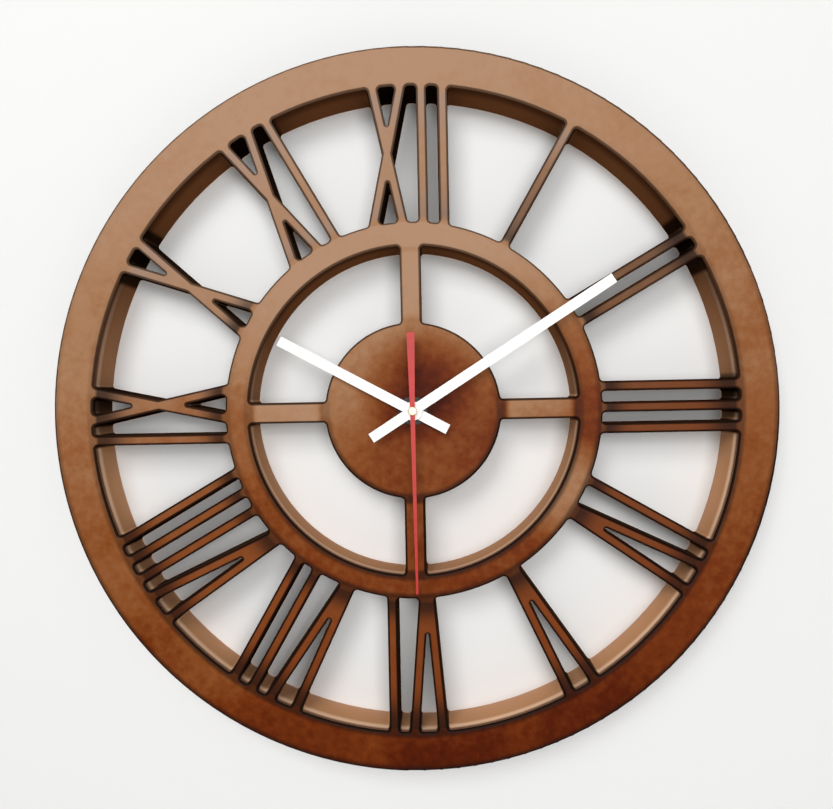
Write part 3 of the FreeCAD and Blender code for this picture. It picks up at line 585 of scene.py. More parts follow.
@dataclass(frozen=True)
class StainedWood:
    """The thick board: stained front and walls with painted light and shade, dark rounded edges with
    painted shade at the foot, and a raw back.
    """

    centre_height: float
    hub: float
    ring_inner: float
    ring_outer: float
    rim_inner: float
    rim_outer: float
    front: float
    face: FaceStainAndLight = FaceStainAndLight()
    wall: WallStainAndShade = WallStainAndShade()
    # Which way the front's painted light and shade come from, across and up.
    light_from: Place = (-0.2, 0.94)

    cloud_scale: float = 24.0
    cloud_share: float = 0.4
    spot_scale: float = 210.0
    spot_layers: tuple[float, float] = (4.0, 0.65)
    spot_share: float = 0.34
    pore_scale: float = 1500.0
    pore_layers: tuple[float, float] = (3.0, 0.6)

    rounded_facing: Span = (0.9995, 0.92)
    rounded_share: float = 0.7
    # Painted shade: how much darker the rounded edges grow towards the foot.
    rounded_low_shade: float = 0.25
    rounded_shade_height: Span = (100 * MM, -60 * MM)
    wall_facing: Span = (0.36, 0.12)

    back: Colour = tone(182, 142, 98)
    back_second: Colour = tone(138, 96, 60)
    back_facing: Span = (0.5, 0.9)
    grain_stretch: Vector3 = (0.06, 1.0, 1.0)
    grain_scale: float = 420.0
    grain_layers: tuple[float, float] = (5.0, 0.7)
    grain_contrast: float = 3.2
    grain_clouds: float = 1.4

    roughness: float = 0.44
    roughness_spots: float = 0.35
    matt_facing: Span = (0.6, 0.1)
    matt_share: float = 0.16
    sheen_facing: Span = (0.3, 0.8)
    sheen: float = 0.1
    sheen_roughness: float = 0.4
    relief: float = 0.35
    relief_depth: float = 0.12 * MM
    relief_spots: float = 0.8

    def make(self) -> bpy.types.Material:
        """Build the material.

        Returns:
            The material.
        """
        material, graph, shader = new_material(Surface.WOOD.value)
        source = graph.add("ShaderNodeTexCoord")
        place = source.outputs["Object"]
        spot = graph.add("ShaderNodeSeparateXYZ")
        graph.feed(spot.inputs[0], place)
        facing = graph.add("ShaderNodeSeparateXYZ")
        graph.feed(facing.inputs[0], source.outputs["Normal"])
        facing_front = graph.times(facing.outputs["Y"], -1.0)

        clouds = graph.maths("SUBTRACT", graph.noise(place, self.cloud_scale), 0.5)
        spots = graph.maths("SUBTRACT", graph.noise(place, self.spot_scale, *self.spot_layers), 0.5)
        pores = graph.noise(place, self.pore_scale, *self.pore_layers)
        across = spot.outputs["X"]
        up = graph.maths("SUBTRACT", spot.outputs["Z"], self.centre_height)
        point = DialPoint(
            graph=graph,
            across=across,
            up=up,
            depth=graph.maths("DIVIDE", spot.outputs["Y"], self.front),
            radius=graph.distance(across, up),
            lean=graph.plus(graph.times(across, self.light_from[0] / self.rim_outer),
                            graph.times(up, self.light_from[1] / self.rim_outer)),
            speckle=graph.plus(graph.times(clouds, self.cloud_share), graph.times(spots, self.spot_share)),
            facing_right=facing.outputs["X"],
            facing_up=facing.outputs["Z"],
        )

        # Dark rounded edges all round in the stain, with painted shade making them darker towards the foot.
        low = graph.times(graph.fade(up, *self.rounded_shade_height), self.rounded_low_shade)
        share = graph.plus(low, self.rounded_share)
        rounded = graph.times(graph.fade(facing_front, *self.rounded_facing), share)
        colour = graph.blend(rounded, self.face_colour(point), self.face.edge)
        colour = graph.blend(graph.fade(facing_front, *self.wall_facing), colour, self.wall_colour(point))
        behind = graph.fade(facing.outputs["Y"], *self.back_facing)
        colour = graph.blend(behind, colour, self.back_colour(graph, place, clouds))
        graph.feed(shader.inputs["Base Color"], colour)

        gloss = graph.plus(graph.times(spots, self.roughness_spots), self.roughness)
        matt = graph.times(graph.fade(facing_front, *self.matt_facing), self.matt_share)
        graph.feed(shader.inputs["Roughness"], graph.maths("ADD", gloss, matt, clamp=True))
        shader.inputs["Specular IOR Level"].default_value = 0.0
        graph.feed(shader.inputs["Coat Weight"],
                   graph.times(graph.fade(facing_front, *self.sheen_facing), self.sheen))
        shader.inputs["Coat Roughness"].default_value = self.sheen_roughness
        height = graph.plus(pores, graph.times(spots, self.relief_spots))
        graph.relief(shader, height, self.relief, self.relief_depth)
        return material

    def face_colour(self, point: DialPoint) -> Socket:
        """The colour of the front faces.

        Args:
            point: Where the shaded point lies.

        Returns:
            The colour.
        """
        colour = point.graph.ramp(self.face_shade(point), self.face.tones)
        return self.stroke_colour(point, self.edged(point, colour))

    def face_shade(self, point: DialPoint) -> Socket:
        """How light the front faces are, before edges and strokes: the stain's mottle with painted light
        above, painted shade below, on the right and round the hands, and painted highlights on the hub,
        spokes and ring.

        Args:
            point: Where the shaded point lies.

        Returns:
            The shade.
        """
        graph, stain = point.graph, self.face
        # Painted light towards the top and painted shade at the foot, with the stain's mottle.
        slope = graph.plus(graph.times(point.lean, stain.painted_light_slope), stain.middle_shade, point.speckle)

        # Painted shade round the hands' middle, measured from its centre.
        off_hand_shade = graph.distance(point.across, point.up, stain.painted_hand_shade.place)
        # Painted light on the hub's upper side, beyond the painted shade round the hands.
        painted_hub_light = graph.times(graph.fade(off_hand_shade, *stain.hub_light_reach),
                           graph.fade(point.lean, *stain.hub_light_lean), stain.hub_light_change)
        hub = graph.times(graph.plus(painted_hub_light, stain.hub_change),
                          point.within(self.hub + stain.hub_blur, stain.hub_blur))

        between = graph.times(point.beyond(self.hub + stain.seam, stain.spoke_blur),
                              point.within(self.ring_inner - stain.seam, stain.spoke_blur))
        # Painted light: the upper spokes are lighter.
        spokes = graph.times(between, graph.fade(point.lean, *stain.spoke_light_lean), stain.spoke_light_change)

        inside = point.within(self.ring_outer, stain.seam)
        # Painted shade on the lower side inside the ring.
        low = graph.times(inside, graph.fade(point.lean, *stain.low_shade_lean), stain.low_shade_change)
        # Painted shade on the right side inside the ring.
        level = graph.fade(graph.apart(point.up, stain.right_shade_height), *stain.right_shade_reach)
        right = graph.times(graph.fade(point.across, *stain.right_shade_across), inside,
                            graph.maths("SUBTRACT", 1.0, between), level, stain.right_shade_change)

        # Painted highlight low on the ring's right and painted light on its upper side.
        on_ring = graph.times(inside, point.beyond(self.ring_inner - stain.ring_blur, stain.ring_blur))
        high = graph.times(graph.fade(point.lean, *stain.ring_light_lean), stain.ring_light_change)
        ring = graph.times(on_ring, graph.plus(point.patch(stain.ring_highlight), high))
        return graph.plus(slope, spokes, hub, point.patch(stain.painted_hand_shade), low, right, ring)

    def edged(self, point: DialPoint, colour: Socket) -> Socket:
        """The front's colour with painted shade along each round edge, on the side away from the light.

        Args:
            point: Where the shaded point lies.
            colour: The colour so far.

        Returns:
            The colour.
        """
        graph, stain = point.graph, self.face
        turn = graph.maths("DIVIDE", graph.times(point.lean, self.rim_outer), point.radius)
        shaded_side = graph.times(graph.fade(turn, *stain.edge_shade_turn), stain.edge_shade_share)
        for edge in (self.rim_outer, self.rim_inner, self.ring_outer, self.ring_inner, self.hub):
            near = graph.fade(graph.apart(point.radius, edge), *stain.edge_reach)
            colour = graph.blend(graph.times(near, shaded_side), colour, stain.edge)
        return colour

    def stroke_colour(self, point: DialPoint, colour: Socket) -> Socket:
        """The front's colour with the numerals' strokes greyer above, dark at the right and warm below.

        Args:
            point: Where the shaded point lies.
            colour: The colour so far.

        Returns:
            The colour.
        """
        graph, stain = point.graph, self.face
        strokes = graph.times(point.beyond(self.ring_outer, stain.stroke_blur),
                              point.within(self.rim_inner, stain.stroke_blur))
        at_rim = graph.fade(point.radius, *(self.rim_inner - reach for reach in stain.rim_end))
        at_ring = graph.fade(point.radius, *(self.ring_outer + reach for reach in stain.ring_end))
        near_end = graph.maths("MAXIMUM", at_rim, at_ring)

        share = graph.plus(graph.times(near_end, stain.cool_end_share), stain.cool_share)
        cool = graph.times(strokes, graph.fade(point.lean, *stain.cool_lean), share)
        colour = graph.blend(cool, colour, stain.cool)
        level = graph.fade(graph.maths("ABSOLUTE", point.lean), *stain.dark_lean)
        dark = graph.times(graph.fade(point.across, *stain.dark_across), level, strokes, stain.dark_share)
        colour = graph.blend(dark, colour, stain.dark)
        warm = graph.times(strokes, graph.fade(point.lean, *stain.warm_lean), stain.warm_share)
        colour = graph.blend(warm, colour, stain.warm)

        ends = graph.times(near_end, point.beyond(self.ring_outer, stain.end_blur),
                           point.within(self.rim_inner, stain.end_blur),
                           graph.fade(point.lean, *stain.end_lean))
        ragged = graph.maths("ADD", ends, graph.times(point.speckle, stain.end_speckle), clamp=True)
        return graph.blend(graph.times(ragged, ends, stain.end_share), colour, stain.end)

    def wall_colour(self, point: DialPoint) -> Socket:
        """The colour of the sawn walls, with painted shade on those that face down and in the pockets
        between strokes.

        Args:
            point: Where the shaded point lies.

        Returns:
            The colour.
        """
        graph, stain = point.graph, self.wall
        deep = graph.fade(point.depth, *stain.deep_from)
        towards_back = graph.maths("ADD", deep, point.speckle, clamp=True)
        colour = graph.blend(towards_back, stain.light, stain.deep)
        colour = graph.blend(graph.fade(point.depth, *stain.bright_from), colour, stain.bright)
        colour = graph.blend(graph.fade(point.depth, *stain.lip_from), colour, stain.lip)
        dull = graph.times(point.within(self.ring_outer, self.face.seam), stain.ring_dull)
        colour = graph.blend(dull, colour, stain.lip)
        # Painted shade on the walls that face down.
        under = graph.blend(graph.fade(point.depth, *stain.under_shade_from), stain.under_shade_lip, stain.under)
        colour = graph.blend(graph.fade(point.facing_up, *stain.under_shade_facing), colour, under)
        # Painted shade in the pockets between the upper numerals' strokes.
        colour = graph.blend(self.pocket_shade_share(point), colour, stain.pocket_shade)

        along = graph.plus(graph.times(point.facing_right, point.across),
                           graph.times(point.facing_up, point.up))
        outward = graph.maths("DIVIDE", along, point.radius)
        sideways = graph.times(graph.fade(graph.maths("ABSOLUTE", outward), *stain.stroke_facing),
                               stain.stroke_share)
        colour = graph.blend(sideways, colour, stain.stroke)
        return graph.blend(graph.fade(outward, *stain.outside_facing), colour, stain.outside)

    def pocket_shade_share(self, point: DialPoint) -> Socket:
        """How much painted shade darkens the rim's wall in the pockets between the upper numerals' strokes.

        Args:
            point: Where the shaded point lies.

        Returns:
            The share of the pocket's tone.
        """
        graph, stain = point.graph, self.wall
        hour = graph.maths("DIVIDE", graph.maths("ARCTAN2", point.across, point.up), stain.numeral_turn)
        at_numeral = graph.fade(graph.apart(hour, graph.maths("ROUND", hour)), *stain.pocket_shade_turn)
        off_single = graph.fade(graph.apart(hour, stain.pocketless), *stain.pocketless_turn)
        above = graph.fade(point.up, *stain.pocket_shade_height)
        past_ring = graph.fade(point.radius, self.ring_outer, self.rim_inner - self.face.seam)
        return graph.times(at_numeral, off_single, above, past_ring, stain.pocket_shade_share)

    def back_colour(self, graph: Graph, place: Socket, clouds: Socket) -> Socket:
        """The raw grained wood of the back.

        Args:
            graph: The material's graph.
            place: The point's place.
            clouds: The wood's broad unevenness.

        Returns:
            The colour.
        """
        stretched = graph.add("ShaderNodeMapping")
        graph.feed(stretched.inputs["Vector"], place)
        stretched.inputs["Scale"].default_value = self.grain_stretch
        grain = graph.noise(stretched.outputs["Vector"], self.grain_scale, *self.grain_layers)
        lines = graph.plus(graph.times(graph.maths("SUBTRACT", grain, 0.5), self.grain_contrast), 0.5)
        lines = graph.maths("ADD", lines, graph.times(clouds, self.grain_clouds), clamp=True)
        return graph.blend(lines, self.back, self.back_second)


@dataclass(frozen=True)
class CellJacket:
    """A cell's printed jacket with a pale band at its positive end and bare metal ends."""

    low: float
    high: float
    jacket: Variation = Variation(tone(48, 58, 70), tone(58, 68, 80), (0.28, 0.36), 700.0, 1.5)
    band: Colour = tone(196, 198, 200)
    band_width: float = 14 * MM
    bare: Colour = tone(190, 188, 184)
    bare_high: float = 1.3 * MM
    bare_low: float = 0.3 * MM
    band_blur: float = 0.2 * MM
    bare_blur: float = 0.1 * MM

    def make(self) -> bpy.types.Material:
        """Build the material.

        Returns:
            The material.
        """
        material, graph, shader = new_material(Surface.CELL.value)
        group = self.jacket.place_in(graph)
        spot = graph.add("ShaderNodeSeparateXYZ")
        graph.feed(spot.inputs[0], graph.add("ShaderNodeTexCoord").outputs["Object"])
        along = spot.outputs["X"]
        band_start = self.high - self.band_width
        band = graph.fade(along, band_start, band_start + self.band_blur)
        colour = graph.blend(band, group.outputs["Color"], self.band)
        high_start = self.high - self.bare_high
        low_start = self.low + self.bare_low
        ends = graph.maths("MAXIMUM", graph.fade(along, high_start, high_start + self.bare_blur),
                           graph.fade(along, low_start, low_start - self.bare_blur))
        graph.feed(shader.inputs["Base Color"], graph.blend(ends, colour, self.bare))
        graph.feed(shader.inputs["Metallic"], ends)
        graph.feed(shader.inputs["Roughness"], group.outputs["Roughness"])
        return material


@dataclass(frozen=True)
class TrackedBoard:
    """Green lacquer over a laminate, with copper tracks under it and tinned pads."""

    lacquer: Variation = Variation(tone(30, 88, 50), tone(38, 98, 58), (0.25, 0.36), 900.0, 2.0)
    track: Colour = tone(78, 142, 84)
    track_scale: float = 190.0
    track_wander: float = 1.5
    track_width: Span = (0.68, 0.74)
    field_scale: float = 160.0
    field_edge: Span = (0.48, 0.5)
    tin: Colour = tone(198, 198, 196)
    pad_scale: float = 380.0
    pad_edge: Span = (0.24, 0.21)
    relief: float = 0.4
    relief_depth: float = 0.05 * MM

    def make(self) -> bpy.types.Material:
        """Build the material.

        Returns:
            The material.
        """
        material, graph, shader = new_material(Surface.LAMINATE.value)
        group = self.lacquer.place_in(graph)
        place = graph.add("ShaderNodeTexCoord").outputs["Object"]
        bands = graph.add("ShaderNodeTexWave")
        graph.feed(bands.inputs["Vector"], place)
        bands.inputs["Scale"].default_value = self.track_scale
        bands.inputs["Distortion"].default_value = self.track_wander
        tracks = graph.times(graph.fade(bands.outputs["Fac"], *self.track_width),
                             graph.fade(graph.noise(place, self.field_scale, 0.0), *self.field_edge))
        cells = graph.add("ShaderNodeTexVoronoi")
        graph.feed(cells.inputs["Vector"], place)
        cells.inputs["Scale"].default_value = self.pad_scale
        pads = graph.fade(cells.outputs["Distance"], *self.pad_edge)
        colour = graph.blend(tracks, group.outputs["Color"], self.track)
        graph.feed(shader.inputs["Base Color"], graph.blend(pads, colour, self.tin))
        graph.feed(shader.inputs["Metallic"], pads)
        graph.feed(shader.inputs["Roughness"], group.outputs["Roughness"])
        graph.relief(shader, graph.maths("MAXIMUM", tracks, pads), self.relief, self.relief_depth)
        return material


FINISHES = (
    PlainFinish(Surface.ZINC, tone(186, 187, 184), tone(160, 163, 164), (0.28, 0.45), 1.0, 500.0, 5.0),
    PlainFinish(Surface.BLACK_PLASTIC, tone(30, 30, 32), tone(38, 38, 40), (0.42, 0.6), scale=2600.0,
                relief=0.4),
    PlainFinish(Surface.WHITE_PLASTIC, tone(236, 234, 226), tone(226, 224, 214), (0.35, 0.5)),
    PlainFinish(Surface.PLATED, tone(204, 202, 196), tone(188, 187, 182), (0.2, 0.34), 1.0),
    PlainFinish(Surface.IRON, tone(150, 151, 154), tone(132, 133, 138), (0.35, 0.5), 1.0),
    PlainFinish(Surface.COPPER, tone(196, 108, 62), tone(176, 88, 48), (0.22, 0.35), 1.0, coat=0.4),
    PlainFinish(Surface.CRYSTAL, tone(206, 207, 210), tone(190, 191, 196), (0.16, 0.28), 1.0),
    PlainFinish(Surface.MAGNET, tone(62, 62, 64), tone(50, 50, 53), (0.5, 0.65), scale=1600.0),
    PlainFinish(Surface.BRASS, tone(212, 178, 104), tone(196, 160, 88), (0.22, 0.34), 1.0),
    PlainFinish(Surface.WHITE_LACQUER, tone(250, 249, 245), tone(244, 242, 236), (0.3, 0.4), scale=600.0,
                relief=0.08, coat=0.25),
    PlainFinish(Surface.RED_LACQUER, tone(196, 29, 17), tone(176, 18, 12), (0.4, 0.5), scale=600.0,
                relief=0.08),
    PlainFinish(Surface.CAP, tone(226, 214, 170), tone(214, 198, 150), (0.24, 0.36), 0.6),
    PlainFinish(Surface.RUBBER, tone(32, 32, 33), tone(40, 40, 41), (0.7, 0.85), scale=1800.0),
    PlainFinish(Surface.BLACK_STEEL, tone(18, 17, 17), tone(28, 27, 26), (0.36, 0.5), 0.25),
)


class Palette:
    """Every material of the clock by its slot."""

    STUB = 2 * MM

    def __init__(self) -> None:
        """Build the materials from the frame's own sizes.

        Hub, ring and rim carry short stubs of the spokes and strokes, which their boxes take in.
        """
        low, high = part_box("outer_rim")
        ring_low, ring_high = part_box("middle_ring")
        hub_low, hub_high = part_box("hub")
        cell_low, cell_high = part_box("battery_cell")
        centre_height = (low.z + high.z) / 2
        wood = StainedWood(
            centre_height=centre_height,
            hub=(hub_high.x - hub_low.x) / 2 - self.STUB,
            ring_inner=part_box("spoke_12")[1].z - centre_height + self.STUB,
            ring_outer=(ring_high.x - ring_low.x) / 2 - self.STUB,
            rim_inner=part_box("numeral_xii")[1].z - centre_height + self.STUB,
            rim_outer=(high.x - low.x) / 2,
            front=low.y,
        )
        self.materials = {
            Surface.WOOD: wood.make(),
            Surface.CELL: CellJacket(cell_low.x, cell_high.x).make(),
            Surface.LAMINATE: TrackedBoard().make(),
        }
        for finish in FINISHES:
            self.materials[finish.slot] = finish.make()

    def dress(self, thing: bpy.types.Object, surface: Surface) -> None:
        """Give an object one finish all over.

        Args:
            thing: A CAD node or a new piece.
            surface: The finish's slot.
        """
        if not thing.data.materials:
            thing.data.materials.append(None)
        for index in range(len(thing.data.materials)):
            thing.data.materials[index] = self.materials[surface]


@dataclass
class Coiled:
    """Geometry Nodes that wind one round wire in even turns about an axis."""

    turns: float
    radius: float
    wire: float
    length: float
    centre: Vector
    turned: Vector3 = UNTURNED
    steps: int = 16

    SECTION_CORNERS = 6
    INPUTS = (("Turns", "Float"), ("Radius", "Float"), ("Wire", "Float"), ("Length", "Float"),
              ("Steps", "Int"), ("Turned", "Vector"), ("Centre", "Vector"), ("Material", "Material"))

    def values(self) -> dict[str, object]:
        """The tree's inputs by name."""
        return {"Turns": self.turns, "Radius": self.radius, "Wire": self.wire, "Length": self.length,
                "Steps": self.steps, "Turned": self.turned, "Centre": self.centre}

    def tree(self) -> bpy.types.NodeTree:
        """The winding's node tree, built once.

        Returns:
            The tree.
        """
        known = bpy.data.node_groups.get("coiled_wire")
        if known:
            return known
        tree = bpy.data.node_groups.new("coiled_wire", "GeometryNodeTree")
        for name, kind in self.INPUTS:
            tree.interface.new_socket(name=name, in_out="INPUT", socket_type=f"NodeSocket{kind}")
        tree.interface.new_socket(name="Geometry", in_out="OUTPUT", socket_type="NodeSocketGeometry")
        graph = Graph(tree)
        given = graph.add("NodeGroupInput").outputs
        spiral = graph.add("GeometryNodeCurveSpiral")
        for name, source in (("Resolution", "Steps"), ("Rotations", "Turns"), ("Start Radius", "Radius"),
                             ("End Radius", "Radius"), ("Height", "Length")):
            graph.feed(spiral.inputs[name], given[source])
        section = graph.add("GeometryNodeCurvePrimitiveCircle")
        section.inputs["Resolution"].default_value = self.SECTION_CORNERS
        graph.feed(section.inputs["Radius"], given["Wire"])
        tube = graph.add("GeometryNodeCurveToMesh")
        tube.inputs["Fill Caps"].default_value = True
        graph.feed(tube.inputs["Curve"], spiral.outputs["Curve"])
        graph.feed(tube.inputs["Profile Curve"], section.outputs["Curve"])
        finish_tree(graph, tube.outputs["Mesh"], given)
        return tree


@dataclass
class Ribbed:
    """Geometry Nodes that stand round ribs about a wheel's edge."""

    count: int
    radius: float
    rib: float
    length: float
    centre: Vector
    turned: Vector3 = UNTURNED

    ROD_SIDES = 10
    INPUTS = (("Count", "Int"), ("Radius", "Float"), ("Rib", "Float"), ("Length", "Float"),
              ("Turned", "Vector"), ("Centre", "Vector"), ("Material", "Material"))

    def values(self) -> dict[str, object]:
        """The tree's inputs by name."""
        return {"Count": self.count, "Radius": self.radius, "Rib": self.rib, "Length": self.length,
                "Turned": self.turned, "Centre": self.centre}

    def tree(self) -> bpy.types.NodeTree:
        """The ribs' node tree, built once.

        Returns:
            The tree.
        """
        known = bpy.data.node_groups.get("ribbed_edge")
        if known:
            return known
        tree = bpy.data.node_groups.new("ribbed_edge", "GeometryNodeTree")
        for name, kind in self.INPUTS:
            tree.interface.new_socket(name=name, in_out="INPUT", socket_type=f"NodeSocket{kind}")
        tree.interface.new_socket(name="Geometry", in_out="OUTPUT", socket_type="NodeSocketGeometry")
        graph = Graph(tree)
        given = graph.add("NodeGroupInput").outputs
        circle = graph.add("GeometryNodeMeshCircle")
        graph.feed(circle.inputs["Vertices"], given["Count"])
        graph.feed(circle.inputs["Radius"], given["Radius"])
        rod = graph.add("GeometryNodeMeshCylinder")
        rod.inputs["Vertices"].default_value = self.ROD_SIDES
        graph.feed(rod.inputs["Radius"], given["Rib"])
        graph.feed(rod.inputs["Depth"], given["Length"])
        stand = graph.add("GeometryNodeInstanceOnPoints")
        graph.feed(stand.inputs["Points"], circle.outputs["Mesh"])
        graph.feed(stand.inputs["Instance"], rod.outputs["Mesh"])
        finish_tree(graph, stand.outputs["Instances"], given)
        return tree


def finish_tree(graph: Graph, shape: Socket, given: bpy.types.NodeOutputs) -> None:
    """Put a tree's shape in place, make it real and give it its material.

    Args:
        graph: The tree's graph.
        shape: The shape about the origin.
        given: The tree's inputs.
    """
    moved = graph.add("GeometryNodeTransform")
    graph.feed(moved.inputs["Geometry"], shape)
    graph.feed(moved.inputs["Rotation"], given["Turned"])
    graph.feed(moved.inputs["Translation"], given["Centre"])
    real = graph.add("GeometryNodeRealizeInstances")
    graph.feed(real.inputs["Geometry"], moved.outputs["Geometry"])
    painted = graph.add("GeometryNodeSetMaterial")
    graph.feed(painted.inputs["Geometry"], real.outputs["Geometry"])
    graph.feed(painted.inputs["Material"], given["Material"])
    result = graph.add("NodeGroupOutput")
    graph.feed(result.inputs["Geometry"], painted.outputs["Geometry"])


def grow(name: str, rule: Coiled | Ribbed, material: bpy.types.Material) -> bpy.types.Object:
    """Run a node tree and keep its result as a plain mesh.

    Args:
        name: The new piece's name.
        rule: What holds the tree and its values.
        material: The piece's finish.

    Returns:
        The piece, at the origin.
    """
    piece = bpy.data.objects.new(name, bpy.data.meshes.new(name))
    bpy.context.scene.collection.objects.link(piece)
    tree = rule.tree()
    modifier = piece.modifiers.new("rule", "NODES")
    modifier.node_group = tree
    named = {item.name: item.identifier for item in tree.interface.items_tree if item.in_out == "INPUT"}
    for key, value in {**rule.values(), "Material": material}.items():
        modifier[named[key]] = value
    bpy.context.view_layer.update()
    evaluated = piece.evaluated_get(bpy.context.evaluated_depsgraph_get())
    made = bpy.data.meshes.new_from_object(evaluated)
    piece.modifiers.clear()
    piece.data = made
    made.name = name
    for polygon in made.polygons:
        polygon.use_smooth = True
    return piece


def solid_from(name: str, parts: list[list[Vector]], depth: Vector) -> bpy.types.Object:
    """A piece of several flat outlines, each thickened the same way.

    Args:
        name: The new piece's name.
        parts: Outlines of corners.
        depth: How far, and which way, each outline is thickened.

    Returns:
        The piece, at the origin.
    """
    mesh = bpy.data.meshes.new(name)
    shape = bmesh.new()
    for outline in parts:
        near = [shape.verts.new(corner) for corner in outline]
        far = [shape.verts.new(corner + depth) for corner in outline]
        shape.faces.new(near)
        shape.faces.new(far[::-1])
        for k in range(len(near)):
            following = (k + 1) % len(near)
            shape.faces.new((near[following], near[k], far[k], far[following]))
    bmesh.ops.recalc_face_normals(shape, faces=shape.faces)
    shape.to_mesh(mesh)
    shape.free()
    piece = bpy.data.objects.new(name, mesh)
    bpy.context.scene.collection.objects.link(piece)
    return piece


@dataclass
class DialBoard:
    """The board's members: rim, ring, hub, spokes and numerals."""

    prefixes: tuple[str, ...] = ("outer_rim", "middle_ring", "hub", "spoke_", "numeral_")

    def dress(self, palette: Palette) -> None:
        """Stain every member of the board.

        Args:
            palette: The clock's finishes.
        """
        for name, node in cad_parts.items():
            if name.startswith(self.prefixes):
                palette.dress(node, Surface.WOOD)
                log.info("stained %s", name)


@dataclass
class Hanger:
    """The toothed strip and its nails at the back of the rim."""

    nodes: tuple[str, ...] = ("hanger_strip", "hanger_nails")

    def dress(self, palette: Palette) -> None:
        """Plate the strip and the nails.

        Args:
            palette: The clock's finishes.
        """
        for name in self.nodes:
            palette.dress(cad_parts[name], Surface.ZINC)
            log.info("plated %s", name)


@dataclass
class Movement:
    """The quartz movement, with the details that its moulding and winding show."""

    knob_ribs: int = 28
    knob_thickness: float = 1.4 * MM
    rib_radius: float = 0.16 * MM
    rib_share: float = 0.86
    winding_turns: float = 44.0
    wire_radius: float = 0.14 * MM
    thread_pitch: float = 0.3 * MM
    thread_radius: float = 0.1 * MM
    thread_steps: int = 32
    bushing_radius: float = 4.0 * MM
    mark_height: float = 0.3 * MM
    mark_length: float = 4.0 * MM
    mark_width: float = 0.8 * MM
    mark_inset: float = 5.0 * MM
    finishes: dict[Surface, tuple[str, ...]] = field(default_factory=lambda: {
        Surface.BLACK_PLASTIC: ("movement_case", "movement_cover", "setting_knob"),
        Surface.WHITE_PLASTIC: ("train_bridge", "intermediate_wheel", "seconds_wheel", "third_wheel",
                                "motion_wheel", "hour_wheel"),
        Surface.BRASS: ("centre_wheel", "minute_arbor"),
        Surface.CELL: ("battery_cell",),
        Surface.PLATED: ("contact_positive", "contact_negative"),
        Surface.IRON: ("motor_stator",),
        Surface.COPPER: ("motor_coil",),
        Surface.MAGNET: ("rotor",),
        Surface.LAMINATE: ("circuit_board",),
        Surface.CRYSTAL: ("quartz_crystal",),
        Surface.RUBBER: ("rubber_washer",),
        Surface.BLACK_STEEL: ("front_washer", "hex_nut"),
    })

    def dress(self, palette: Palette) -> None:
        """Finish the movement's own nodes.

        Args:
            palette: The clock's finishes.
        """
        for surface, names in self.finishes.items():
            for name in names:
                palette.dress(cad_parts[name], surface)
                log.info("finished %s", name)

    def add_knob_ribs(self, palette: Palette) -> None:
        """Ribs round the setting knob, for a finger to turn.

        Args:
            palette: The clock's finishes.
        """
        low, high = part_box("setting_knob")
        middle = (low + high) / 2
        middle.y = high.y - self.knob_thickness / 2
        rule = Ribbed(self.knob_ribs, (high.x - low.x) / 2, self.rib_radius,
                      self.knob_thickness * self.rib_share, middle, FACING_FRONT)
        piece = grow("knob_ribs", rule, palette.materials[Surface.BLACK_PLASTIC])
        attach(piece, "setting")
        log.info("made %s", piece.name)

    def add_winding(self, palette: Palette) -> None:
        """The outer layer of the motor's winding.

        Args:
            palette: The clock's finishes.
        """
        low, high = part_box("motor_coil")
        radius = (high.x - low.x) / 2 - self.wire_radius / 2
        length = high.z - low.z - self.wire_radius * 2
        base = (low + high) / 2
        base.z = low.z + self.wire_radius
        rule = Coiled(self.winding_turns, radius, self.wire_radius, length, base)
        self.wind("winding_turns", rule, palette, Surface.COPPER)

    def add_thread(self, palette: Palette) -> None:
        """The end of the bushing's thread, past the nut.

        Args:
            palette: The clock's finishes.
        """
        low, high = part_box("hex_nut")
        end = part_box("movement_case")[0].y
        length = low.y - end - self.thread_radius * 2
        middle = (low + high) / 2
        middle.y = low.y - self.thread_radius
        rule = Coiled(length / self.thread_pitch, self.bushing_radius, self.thread_radius, length, middle,
                      FACING_FRONT, self.thread_steps)
        self.wind("bushing_thread", rule, palette, Surface.BLACK_PLASTIC)

    def wind(self, name: str, rule: Coiled, palette: Palette, surface: Surface) -> None:
        """Make one coiled piece that stays with the case.

        Args:
            name: The piece's name.
            rule: Its sizes.
            palette: The clock's finishes.
            surface: Its finish.
        """
        piece = grow(name, rule, palette.materials[surface])
        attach(piece, "clock")
        log.info("made %s", name)

    def add_polarity_marks(self, palette: Palette) -> None:
        """A raised plus and minus on the cover, above the ends of the cell.

        Args:
            palette: The clock's finishes.
        """
        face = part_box("movement_cover")[1].y
        cell_low, cell_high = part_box("battery_cell")
        height = cell_high.z + self.mark_length
        minus = Vector((cell_low.x + self.mark_inset, face, height))
        plus = Vector((cell_high.x - self.mark_inset, face, height))
        outlines = [
            self.stroke(minus, self.mark_length, self.mark_width),
            self.stroke(plus, self.mark_length, self.mark_width),
            self.stroke(plus, self.mark_width, self.mark_length),
        ]
        piece = solid_from("polarity_marks", outlines, Vector((0, self.mark_height, 0)))
        palette.dress(piece, Surface.BLACK_PLASTIC)
        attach(piece, "clock")
        log.info("made %s", piece.name)

    @staticmethod
    def stroke(middle: Vector, width: float, height: float) -> list[Vector]:
        """One straight stroke's outline on the cover.

        Args:
            middle: Its middle.
            width: Its extent to the right.
            height: Its extent upwards.

        Returns:
            Its four corners.
        """
        return [middle + Vector((width * a, 0, height * b)) for a, b in UNIT_SQUARE]


